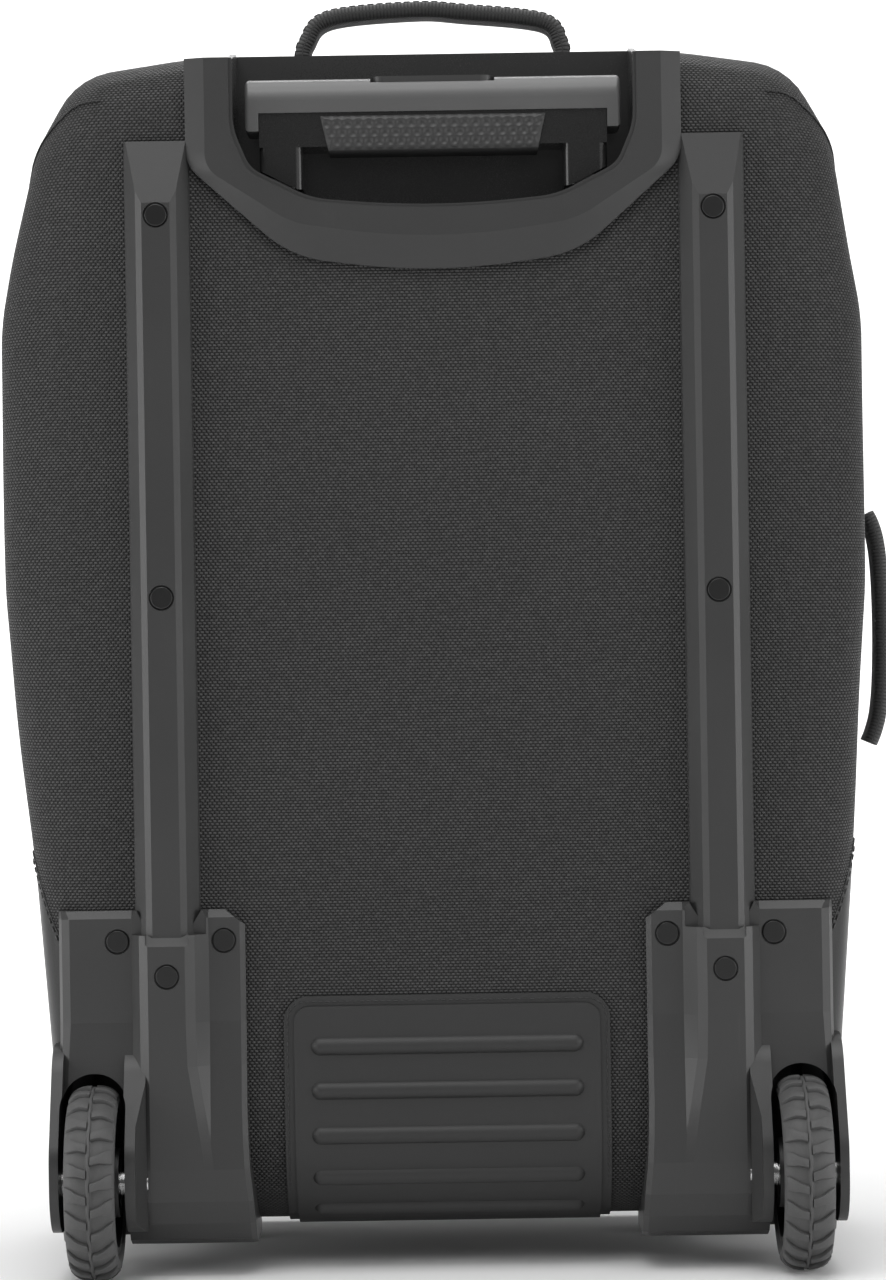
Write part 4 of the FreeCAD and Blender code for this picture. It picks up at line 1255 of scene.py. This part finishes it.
@dataclass
class FrontPocket:
    """The stitched-on front pocket, blown up a little by cloth simulation."""

    voxel: float = 5.0
    cap: float = 5.0
    radius: float = 20.0
    pressure: float = 4.0

    def make(self) -> None:
        """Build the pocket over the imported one's box."""
        low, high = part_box("pocket_panel")
        corners = [(low.x, low.z), (high.x, low.z), (high.x, high.z), (low.x, high.z)]
        rim: list[Pair] = []
        r = self.radius * MM
        for i, (x, z) in enumerate(corners):
            cx = x + (r if i in (0, 3) else -r)
            cz = z + (r if i in (0, 1) else -r)
            start = math.pi * (1 + i / 2)
            rim += [
                (cx + r * math.cos(start + a), cz + r * math.sin(start + a))
                for a in (k * math.pi / 12 for k in range(7))
            ]
        count = len(rim)
        y0, y1 = low.y, high.y - 1.0 * MM
        inset = 5 * MM
        mid = ((low.x + high.x) / 2, (low.z + high.z) / 2)

        def ring(y: float, pull: float) -> list[Vector]:
            """Lay the rim at one depth, pulled towards the middle.

            Args:
                y: the depth in metres.
                pull: how far it is pulled in, in metres.

            Returns:
                The ring's corners.
            """
            made = []
            for x, z in rim:
                d = Vector((x - mid[0], z - mid[1]))
                made.append(Vector((x - d.x / d.length * pull, y, z - d.y / d.length * pull)))
            return made

        points = ring(y0, 0) + ring(y1 - 4 * MM, 0) + ring(y1 - 1 * MM, 2 * MM) + ring(y1, inset)
        faces = ring_faces(4, count)
        faces += [tuple(range(count)), tuple(range(3 * count, 4 * count))]
        pocket = make_mesh("front_pocket_cloth", points, faces)
        turn_outward(pocket)
        self.inflate(pocket)
        self.open_back(pocket, y0)
        give(pocket, (POCKET_WEAVE, RIPSTOP), "pocket")
        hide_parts("pocket_panel")
        seam = [Vector((x, y0 + 2.6 * MM, z)) for x, z in rim + rim[:1]]
        binding = sweep("pocket_binding", seam[:-1], FORWARD, round_section(1.6 * MM, 1.0 * MM), closed=True)
        give(binding, (STRAP,), "pocket")
        LOG.info("front pocket: %d faces", len(pocket.data.polygons))

    def inflate(self, made: bpy.types.Object) -> None:
        """Remesh and blow the form up by cloth simulation, with its movement capped.

        Args:
            made: the closed form.
        """
        bpy.context.view_layer.objects.active = made
        remesh = made.modifiers.new("even_cells", "REMESH")
        remesh.mode = "VOXEL"
        remesh.voxel_size = self.voxel * MM
        self.apply(made)
        rest = [v.co.copy() for v in made.data.vertices]
        cloth = made.modifiers.new("cloth", "CLOTH")
        cloth.settings.use_pressure = True
        cloth.settings.uniform_pressure_force = self.pressure
        cloth.settings.effector_weights.gravity = 0.0
        scene = bpy.context.scene
        for step in range(1, 21):
            scene.frame_set(step)
        self.apply(made)
        scene.frame_set(1)
        for vertex, home in zip(made.data.vertices, rest):
            move = vertex.co - home
            if move.length > self.cap * MM:
                vertex.co = home + move.normalized() * self.cap * MM
        made.modifiers.new("smooth_cloth", "SUBSURF").levels = 1
        self.apply(made)

    @staticmethod
    def apply(made: bpy.types.Object) -> None:
        """Bake a piece's modifiers into its mesh.

        Args:
            made: the piece.
        """
        view = bpy.context.evaluated_depsgraph_get()
        fresh = bpy.data.meshes.new_from_object(made.evaluated_get(view))
        made.modifiers.clear()
        made.data = fresh

    @staticmethod
    def open_back(made: bpy.types.Object, plane: float) -> None:
        """Take away the hidden back, so that the pocket is hollow, and give the cloth thickness.

        Args:
            made: the closed form.
            plane: depth of the sewn edge.
        """
        with editing(made) as shape:
            doomed = [f for f in shape.faces if f.normal.y < -0.6]
            bmesh.ops.delete(shape, geom=doomed, context="FACES")
            for vertex in shape.verts:
                vertex.co.y = max(vertex.co.y, plane)
        made.data.shade_smooth()
        thicken(made, 1.8)


# ---- zips, hinge and loops -----------------------------------------------------------------------
@dataclass
class ZipChain:
    """A coil zip's tape and teeth along a path, one half of the chain."""

    name: str
    body: str
    node: str
    tooth_pitch: float = 2.0
    rise: float = 1.25

    def make(self, path: Sequence[Vector], across: Vector, lean: float) -> None:
        """Build the tape and its teeth.

        Args:
            path: the cloth under the chain's middle line, in metres.
            across: unit vector across the chain, in the cloth.
            lean: mm from the middle line to this half's meeting edge, signed.
        """
        near, far = sorted((lean * 0.98, lean * -1.0))
        section = [(a * MM, b * MM) for a, b in ((near, 0.0), (far, 0.0), (far, 0.7), (near, 0.7))]
        tape = sweep(f"{self.name}_tape", path, across, section)
        give(tape, (TAPE,), self.body)
        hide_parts(self.node)
        points: list[Vector] = []
        faces: list[Face] = []
        base = ((0, 1, 2, 3), (7, 6, 5, 4), (0, 4, 5, 1), (1, 5, 6, 2), (2, 6, 7, 3), (3, 7, 4, 0))
        for number, (here, along) in enumerate(walk(path, self.tooth_pitch * MM)):
            out = along.cross(across)
            a0, a1 = lean * 0.99 * MM, lean * 0.1 * MM
            half = 0.55 * MM
            first = len(points)
            for height, shrink in ((0.6 * MM, 1.0), (self.rise * MM, 0.62)):
                mid = (a0 + a1) / 2
                for a, s in ((a0, -1), (a1, -1), (a1, 1), (a0, 1)):
                    flank = across * (mid + (a - mid) * shrink)
                    points.append(here + flank + along * s * half * shrink + out * height)
            faces += [tuple(first + k for k in face) for face in base]
        teeth = make_mesh(f"{self.name}_teeth", points, faces)
        turn_outward(teeth)
        teeth.data.shade_flat()
        give(teeth, (COIL,), self.body)
        LOG.info("%s: %d teeth", self.name, len(points) // 8)


@dataclass
class Closures:
    """The main zip round the case, the cloth hinge and the pocket zip."""

    hinge: Pair = (105.0, 445.0)

    def make(self) -> None:
        """Build every chain and the hinge strip."""
        fine = 900
        shares = [k / fine for k in range(fine)]
        inside = [
            not (OUTLINE.at(s)[0].x < -150 and self.hinge[0] < OUTLINE.at(s)[0].y < self.hinge[1])
            for s in shares
        ]
        start = next(k for k in range(fine) if inside[k] and not inside[k - 1])
        run = []
        for k in range(fine):
            share = shares[(start + k) % fine]
            if not inside[(start + k) % fine]:
                break
            run.append(share)
        for name, body, node, middle, lean in (
            ("case_zip", "bag", "main_zip_chain_case", 147.4, 2.35),
            ("lid_zip", "lid", "main_zip_chain_lid", 152.6, -2.35),
        ):
            path = []
            for share in run:
                point, normal = OUTLINE.at(share)
                path.append(LAYOUT.at(point.x + normal.x * 0.1, middle, point.y + normal.y * 0.1))
            across = FORWARD
            if (path[1] - path[0]).cross(across).dot(path[0] - LAYOUT.at(0, 150, 280)) < 0:
                path.reverse()
            ZipChain(name, body, node).make(path, across, lean)
        self.pocket_zip()
        self.hinge_strip()

    def pocket_zip(self) -> None:
        """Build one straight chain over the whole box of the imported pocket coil.

        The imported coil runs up, over and down round the pocket; this is not yet that shape.
        """
        low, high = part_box("pocket_zip_chain")
        x = (low.x + high.x) / 2
        path = [Vector((x, low.y, low.z + (high.z - low.z) * k / 40)) for k in range(41)]
        width = (high.x - low.x) / MM / 2
        across = Vector((1, 0, 0))
        if (path[1] - path[0]).cross(across).y < 0:
            across = -across
        ZipChain("pocket_zip", "lid", "pocket_zip_chain", rise=1.15).make(path, across, width * 0.98)

    def hinge_strip(self) -> None:
        """Build the cloth hinge strip along the left side."""
        low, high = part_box("lid_hinge_tape")
        wide, tall = 12, 60
        points, flat = [], []
        for row in range(tall + 1):
            for column in range(wide + 1):
                z = low.z + (high.z - low.z) * row / tall
                y = low.y + (high.y - low.y) * column / wide
                share = 1 - (2 * column / wide - 1) ** 2
                x = LAYOUT.middle - self.edge_at(z / MM) * MM - (0.25 + 0.45 * share) * MM
                points.append(Vector((x, y, z)))
                flat.append((y, z))
        strip = make_mesh("lid_hinge_strip", points, grid_faces(tall, wide), lambda _, c: flat[c])
        strip.data.materials.append(STRAP.make())
        x, z = low.x, (low.z + high.z) / 2
        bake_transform(strip)
        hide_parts("lid_hinge_tape")
        LOG.info("lid_hinge_strip joins bag and lid")

    @staticmethod
    def edge_at(height: float) -> float:
        """Half-width of the case at a height, in mm."""
        return abs(OUTLINE.at(OUTLINE.find(-1, height))[0].x)


@dataclass
class GrabLoops:
    """The folded webbing loops on the top and the right side, with their sewn ends."""

    case: CaseBody = field(default_factory=CaseBody)
    width: float = 22.0
    arc: tuple[Pair, ...] = (
        (0.0, 0.0), (0.05, 0.34), (0.13, 0.68), (0.26, 0.90), (0.45, 1.0),
        (0.62, 0.99), (0.78, 0.88), (0.89, 0.66), (0.96, 0.33), (1.0, 0.0),
    )

    def make(self) -> None:
        """Build both loops and their tabs."""
        self.top_loop()
        self.side_loop()

    @staticmethod
    def curve(knots: Sequence[Pair], steps: int = 10) -> list[Pair]:
        """A smooth run through a few knots.

        Args:
            knots: (a, b) points.
            steps: points added for each span.

        Returns:
            The run's points.
        """
        made: list[Pair] = []
        for i in range(len(knots) - 1):
            near = (max(i - 1, 0), i, i + 1, min(i + 2, len(knots) - 1))
            p = [Vector(knots[k]) for k in near]
            for k in range(steps):
                t = k / steps
                spot = 0.5 * (
                    2 * p[1] + (p[2] - p[0]) * t
                    + (2 * p[0] - 5 * p[1] + 4 * p[2] - p[3]) * t * t
                    + (3 * p[1] - 3 * p[2] + p[3] - p[0]) * t ** 3
                )
                made.append((spot.x, spot.y))
        return made + [tuple(knots[-1])]

    def strap(
        self, name: str, path: Sequence[Vector], body: str, shape: tuple[float, float, float]
    ) -> bpy.types.Object:
        """Sew one length of webbing.

        Args:
            name: the piece's name.
            path: its middle line, in metres.
            body: the body that it moves with.
            shape: mm of extra width, half its thickness, and its bound edge's bead.

        Returns:
            The strap.
        """
        wider, half, bead = shape
        section = band_section((self.width + wider) * MM, -half * MM, half * MM, bead * MM)
        return give(sweep(name, path, FORWARD, section), (STRAP,), body)

    def top_loop(self) -> None:
        """Build the arch on the top and the two ends that it is sewn to."""
        low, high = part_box("top_handle")
        y = (low.y + high.y) / 2
        top = high.z / MM
        left, right = (low.x - LAYOUT.middle) / MM, (high.x - LAYOUT.middle) / MM
        foot = low.z / MM
        knots = [
            (left + 4.5, foot + 2.5), (left + 6.5, foot + 10.5), (left + 17, top - 7.5), (-8, top - 4.0),
            (14, top - 5.4), (right - 13, top - 10), (right - 5.0, foot + 9), (right - 4.2, foot + 2.5),
        ]
        path = [Vector((LAYOUT.middle + a * MM, y, b * MM)) for a, b in self.curve(knots)]
        loop = self.strap("top_loop_webbing", path, "top_loop", (0.0, 3.2, 0.25))
        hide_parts("top_handle")
        for shift, word in ((-8.6, "back"), (8.6, "front")):
            row = [p + Vector((0, shift * MM, 0)) for p in path]
            lifts = [(q - p).normalized().cross(FORWARD) * 3.4 * MM for p, q in zip(row, row[1:])]
            outer = [p + lift for p, lift in zip(row, lifts)]
            if outer[len(outer) // 2].z < row[len(row) // 2].z:
                outer = [p - lift for p, lift in zip(row, lifts)]
            give(dashes(f"top_loop_stitches_{word}", outer), (THREAD,), "top_loop")
        for side, word in ((-1, "left"), (1, "right")):
            end = left if side < 0 else right
            a = abs(end)
            knots = [(side * (a + out), z) for out, z in ((35, 538.8), (20, 539.4), (8, 541.4), (0.6, 544.8))]
            run = []
            for x, z in self.curve(knots):
                ground = self.ground(x, (y - LAYOUT.back) / MM)
                run.append(Vector((LAYOUT.middle + x * MM, y, (ground + z - 538.0) * MM)))
            tab = self.strap(f"top_tab_{word}", run, "bag", (4, 1.3, 0.3))
            if side < 0:
                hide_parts("top_handle_tabs")
            box = [(6, -8), (30, -8), (30, 8), (6, 8), (6, -8), (30, 8)]
            stitch = []
            for (xa, ya), (xb, yb) in zip(box, box[1:]):
                for k in range(7):
                    x = side * (a + xa + (xb - xa) * k / 6)
                    ground = self.ground(x, (y - LAYOUT.back) / MM)
                    height = ground + 3.1 + max(0.0, (a + 14 - abs(x)) * 0.14)
                    spot = y + (ya + (yb - ya) * k / 6) * MM
                    stitch.append(Vector((LAYOUT.middle + x * MM, spot, height * MM)))
            give(dashes(f"top_tab_stitches_{word}", stitch, 3.2, 2.3, 0.35), (THREAD,), "bag")

    def ground(self, x: float, y: float) -> float:
        """Height of the case's top under a place.

        Args:
            x: mm from the middle.
            y: mm in front of the hard back.

        Returns:
            The height in mm.
        """
        best = min(
            (i for i in range(OUTLINE.count) if OUTLINE.points[i].y > 500),
            key=lambda i: abs(OUTLINE.points[i].x - x),
        )
        point, normal = OUTLINE.points[best], OUTLINE.normals[best]
        return point.y + self.case.bulge(point, normal, y)

    def side_loop(self) -> None:
        """Build the loop on the right side and its two ends."""
        low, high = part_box("side_handle")
        y = (low.y + high.y) / 2
        depth = (y - LAYOUT.back) / MM
        reach = (high.x - LAYOUT.middle) / MM
        bottom, top = low.z / MM, high.z / MM
        inner = (low.x - LAYOUT.middle) / MM
        rise, length = reach - 3.4 - inner - 2.2, top - bottom
        knots = [
            (inner + 2.2 + rise * out, bottom + 3.5 + (length - 7.0) * up) for up, out in self.arc
        ]
        path = [Vector((LAYOUT.middle + a * MM, y, b * MM)) for a, b in self.curve(knots)]
        loop = self.strap("side_loop_webbing", path, "side_loop", (0.0, 3.0, 0.25))
        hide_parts("side_handle")
        for end, sign, word in ((bottom, -1, "lower"), (top, 1, "upper")):
            run = []
            for k in range(25):
                z = end + sign * (24 - 23.2 * k / 24)
                share = OUTLINE.find(1, z)
                lift = 1.3 + 2.6 * ease(k / 24, 0.6, 1.0)
                spot = self.case.skin(share, depth, lift)
                run.append(Vector((spot.x, y, z * MM)))
            tab = self.strap(f"side_tab_{word}", run, "bag", (3, 1.2, 0.3))
            if sign < 0:
                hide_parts("side_handle_tabs")


# ---- hard parts ----------------------------------------------------------------------------------
@dataclass
class Tyre:
    """A soft tyre with staggered, slanted tread blocks on both shoulders."""

    side: str
    blocks: int = 23
    groove: float = 1.9

    def make(self) -> None:
        """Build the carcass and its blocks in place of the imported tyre."""
        low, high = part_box(f"{self.side}_tyre")
        centre, radius = (low + high) / 2, (high.z - low.z) / 2 / MM
        half, rim = (high.x - low.x) / 2 / MM, 31.2

        def crown(x: float) -> float:
            """Outer radius at a place across the tread."""
            return radius - 4.6 * (abs(x) / half) ** 3.2

        profile = [(-half + 3.4, rim)] + [(-half + 0.9, rim + 1.6), (-half, rim + 3.6)]
        spots = (
            -half + 0.15, -half + 1.2, -8, -6, -4, -2, -1, -0.5, 0,
            0.5, 1, 2, 4, 6, 8, half - 1.2, half - 0.15,
        )
        profile += [(x, crown(x) - self.groove * (1 if abs(x) > 0.8 else 0.3)) for x in spots]
        profile += [(half, rim + 3.6), (half - 0.9, rim + 1.6), (half - 3.4, rim)]
        turns = 120
        points: list[Vector] = []
        for k in range(turns):
            a = 2 * math.pi * k / turns
            points += [self.place(centre, x, r, a) for x, r in profile]
        wide = len(profile)
        faces = ring_faces(turns, wide, closed=True)
        pitch = 2 * math.pi / self.blocks
        steps = (0.9, 3.0, 5.2, 7.2, 9.0, half - 0.55)
        for k in range(self.blocks):
            for sign in (-1, 1):
                start = (k + (0.5 if sign > 0 else 0.0)) * pitch
                first = len(points)
                for x in steps:
                    slant = 0.30 * pitch * x / half
                    length = pitch * (0.40 + 0.12 * ease(x, 4, 9))
                    mid = start + slant
                    taper = 0.10 * pitch
                    lift = crown(x) if x < half - 0.8 else crown(x) - 0.25
                    for height, wider in ((lift - self.groove - 0.4, taper * 0.4), (lift, 0.0)):
                        start_angle = mid - length - wider + pitch * 0.25
                        end_angle = mid + length + wider - pitch * 0.25
                        points.append(self.place(centre, sign * x, height, start_angle))
                        points.append(self.place(centre, sign * x, height, end_angle))
                for j in range(len(steps) - 1):
                    a, b = first + j * 4, first + (j + 1) * 4
                    faces += [
                        (a + 2, a + 3, b + 3, b + 2), (a, a + 2, b + 2, b),
                        (a + 3, a + 1, b + 1, b + 3), (a + 1, a, b, b + 1),
                    ]
                last = first + 4 * (len(steps) - 1)
                faces += [(first, first + 1, first + 3, first + 2), tuple(last + q for q in (0, 2, 3, 1))]
        tyre = make_mesh(f"{self.side}_tread_tyre", points, faces)
        turn_outward(tyre)
        soften(tyre, "block_edges", 0.22, 38)
        give(tyre, (TYRE_RUBBER,), f"{self.side}_wheel")
        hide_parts(f"{self.side}_tyre")
        LOG.info("%s tyre: %d blocks", self.side, self.blocks * 2)

    @staticmethod
    def place(centre: Vector, x: float, radius: float, angle: float) -> Vector:
        """A point at a radius and angle about the axle."""
        return centre + Vector((x, radius * math.sin(angle), radius * math.cos(angle))) * MM


class HardParts:
    """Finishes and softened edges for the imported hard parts."""

    FINISHES: dict[str, Finish] = {
        "board": Rubber("fibre_board", tone=0.10, rough=0.8),
        "shell_plastic": Plastic("moulded_shell", tone=0.034, rough=0.40),
        "tray_plastic": Plastic("gloss_tray", tone=0.032, rough=0.27, grain=0.00001, scuff=0.2),
        "kick_plastic": Plastic("kick_sheet", tone=0.022, rough=0.52, grain=0.00005),
        "rivet_paint": Plastic("painted_rivet", tone=0.006, rough=0.36, grain=0.00001, scuff=0.3),
        "tube_metal": Metal("anodised_tube", tone=0.42, rough=0.32),
        "steel": Metal("plated_steel", tone=0.62, rough=0.24, brush=(0.2, 1.0, 1.0)),
        "zip_metal": Metal("dark_nickel", tone=0.20, rough=0.34),
        "collar_plastic": Plastic("collar_nylon", tone=0.03, rough=0.4),
        "grip_upper": Plastic("satin_grip", tone=0.085, rough=0.34, grain=0.00002, scuff=0.25),
        "grip_lower": Plastic("gloss_grip", tone=0.014, rough=0.24, grain=0.00001, scuff=0.2),
        "button_plastic": Plastic("button_nylon", tone=0.04, rough=0.36),
        "tyre_rubber": TYRE_RUBBER,
        "hub_plastic": Plastic("wheel_hub_nylon", tone=0.014, rough=0.42),
        "foot_rubber": Rubber("foot_rubber_skin", tone=0.05),
        "grip_rubber": GRIP_RUBBER,
    }
    ROUND = {
        "handle_bezel": 0.5, "left_rail": 0.45, "right_rail": 0.45, "left_wheel_housing": 0.5,
        "right_wheel_housing": 0.5, "kick_plate": 0.35, "front_feet": 0.5, "recess_tray": 0.5,
        "left_wheel_hub": 0.3, "right_wheel_hub": 0.3, "rivets": 0.25,
    }

    def make(self) -> None:
        """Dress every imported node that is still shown."""
        slots = {s["node"]: s["material_slot"] for s in frame["record"]["subparts"]}
        soft = {
            "fabric_body": CASE_WEAVE, "fabric_lid": LID_WEAVE,
            "lining": RIPSTOP, "webbing": STRAP, "zip_tape": TAPE,
        }
        for name, node in frame["nodes"].items():
            finish = self.FINISHES.get(slots[name]) or soft[slots[name]]
            node.data.materials.clear()
            node.data.materials.append(finish.make())
            width = self.ROUND.get(name)
            if width:
                soften(node, "soft_edges", width, 24).harden_normals = True
        self.dimpled_pad()
        self.kick_stitches()
        LOG.info("dressed %d packed nodes", len(frame["nodes"]))

    @staticmethod
    def dimpled_pad() -> None:
        """Mould the grip's soft pad: tapered ends, crowned face and staggered round dimples."""
        low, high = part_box("grip_pad")
        wide, tall, pitch = 240, 54, 4.7 * MM
        centre, deep = (low + high) / 2, high - low
        points = []
        for row in range(tall + 1):
            v = row / tall * 2 - 1
            for column in range(wide + 1):
                u = column / wide * 2 - 1
                slant = 1 - 0.035 * (1 - v) / 2 * 2
                x, z = centre.x + u * slant * deep.x / 2, centre.z + v * deep.z / 2
                spot = Vector(((x - centre.x) / pitch, (z - centre.z) / (pitch * 0.82) + 0.5))
                shift = 0.5 * (math.floor(spot.y) % 2)
                a = (spot.x + shift) % 1 - 0.5
                b = spot.y % 1 - 0.5
                reach = math.hypot(a * pitch, b * pitch * 0.82) / (1.95 * MM)
                edge = min((1 - abs(u)) * deep.x / 2, (1 - abs(v)) * deep.z / 2) / MM
                dip = 0.85 * max(0.0, 1 - reach ** 2) * ease(edge, 0.4, 1.4)
                y = low.y + (1.1 * (1 - ease(edge, 0.0, 1.4)) + dip + 0.5 * v * v) * MM
                points.append(Vector((x, y, z)))
        step = wide + 1
        faces = grid_faces(tall, wide)
        rim = [c for c in range(step)] + [r * step + wide for r in range(1, tall + 1)]
        rim += [tall * step + c for c in range(wide - 1, -1, -1)] + [r * step for r in range(tall - 1, 0, -1)]
        first = len(points)
        points += [Vector((points[i].x, high.y, points[i].z)) for i in rim]
        count = len(rim)
        faces += [(rim[(k + 1) % count], rim[k], first + k, first + (k + 1) % count) for k in range(count)]
        faces.append(tuple(first + k for k in range(count)))
        pad = make_mesh("dimpled_grip_pad", points, faces)
        turn_outward(pad)
        give(pad, (GRIP_RUBBER,), "trolley")
        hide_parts("grip_pad")

    @staticmethod
    def kick_stitches() -> None:
        """Sew the kick plate's border."""
        half, top, corner = 70.2, 119.6, 8.0
        run: list[Pair] = [(-half, z) for z in range(34, 110, 2)]
        turns = [k * math.pi / 16 for k in range(9)]
        run += [(-half + corner - corner * math.cos(a), top - corner + corner * math.sin(a)) for a in turns]
        run += [(x, top) for x in range(-60, 61, 4)]
        run += [(half - corner + corner * math.sin(a), top - corner + corner * math.cos(a)) for a in turns]
        run += [(half, z) for z in range(110, 32, -2)]
        heel, floor = 48.0, 19.0
        path = []
        for x, z in run:
            drop = max(0.0, floor + heel - z)
            y = heel - math.sqrt(max(heel ** 2 - drop ** 2, 1.0))
            path.append(LAYOUT.at(x, y - 1.45, z))
        give(dashes("kick_plate_stitches", path, 3.0, 2.1, 0.34), (THREAD,), "bag")


# ---- studio --------------------------------------------------------------------------------------
@dataclass
class Studio:
    """Pale paper sweep, soft lamps and the camera."""

    distance: float = 1790.0
    height: float = 277.7
    lens: float = 114.46
    roll: float = 0.9

    def make(self) -> None:
        """Set up the paper, the lamps, the world and the camera."""
        self.paper()
        self.lamp("key_softbox", (-500, -1300, 1900), (0, 0, 300), 1300, 11)
        self.lamp("fill_softbox", (1000, -1600, 900), (0, 0, 260), 1100, 3.5)
        self.lamp("top_softbox", (0, -150, 1700), (0, 0, 300), 1400, 17)
        self.lamp("left_strip", (-1200, -330, 330), (0, 0, 280), 900, 9)
        self.lamp("right_strip", (1200, -330, 330), (0, 0, 280), 900, 8)
        self.lamp("paper_lamp", (0, 2700, 3000), (0, 4700, 300), 3000, 270)
        world = bpy.data.worlds.new("studio_air")
        world.use_nodes = True
        sky = next(n for n in world.node_tree.nodes if n.type == "BACKGROUND")
        sky.inputs[0].default_value = (1.0, 1.0, 1.0, 1.0)
        sky.inputs[1].default_value = 0.19
        bpy.context.scene.world = world
        bpy.context.scene.view_settings.view_transform = "Standard"
        self.camera()

    @staticmethod
    def paper() -> None:
        """Lay the floor and curve it up behind the bag."""
        profile = [(-14.0, 0.0), (-4.0, 0.0), (0.0, 0.0), (2.0, 0.0), (5.0, 0.0)]
        turns = [k * math.pi / 24 for k in range(1, 13)]
        profile += [(5.0 + 1.2 * math.sin(a), 1.2 - 1.2 * math.cos(a)) for a in turns]
        profile += [(6.2, 2.4), (6.2, 4.0)]
        wide = [-12.0, -3.0, 0.0, 3.0, 12.0]
        points = [Vector((x, y, z - 0.0002)) for y, z in profile for x in wide]
        sheet = make_mesh("studio_paper", points, grid_faces(len(profile) - 1, len(wide) - 1))
        sheet.data.materials.append(StudioPaper("seamless_paper").make())

    @staticmethod
    def lamp(
        name: str, place: Sequence[float], target: Sequence[float], size: float, power: float
    ) -> None:
        """Hang one square softbox.

        Args:
            name: the lamp's name.
            place: its place, in bag mm.
            target: what it looks at, in bag mm.
            size: its side in mm.
            power: its power in watts.
        """
        light = bpy.data.lights.new(name, "AREA")
        light.energy, light.size = power, size * MM
        lamp = bpy.data.objects.new(name, light)
        lamp.location = LAYOUT.at(*place)
        lamp.rotation_euler = (LAYOUT.at(*target) - lamp.location).to_track_quat("-Z", "Y").to_euler()
        bpy.context.scene.collection.objects.link(lamp)

    def camera(self) -> None:
        """Stand the camera square to the hard back, rolled a touch."""
        lens = bpy.data.cameras.new("view_lens")
        lens.lens = self.lens
        lens.clip_start = 0.01
        camera = bpy.data.objects.new("view", lens)
        camera.location = LAYOUT.at(0.9, -self.distance, self.height)
        camera.rotation_euler = (math.pi / 2, math.radians(self.roll), 0.0)
        bpy.context.scene.collection.objects.link(camera)
        bpy.context.scene.camera = camera


def main() -> None:
    """Build the bag's pieces in order and set up the studio."""
    logging.basicConfig(level=logging.INFO, format="%(message)s")
    HardParts().make()
    CaseBody().make()
    LidShell().make()
    FrontPocket().make()
    Closures().make()
    GrabLoops().make()
    for side in ("left", "right"):
        Tyre(side).make()
    Studio().make()


if __name__ == "__main__":
    main()
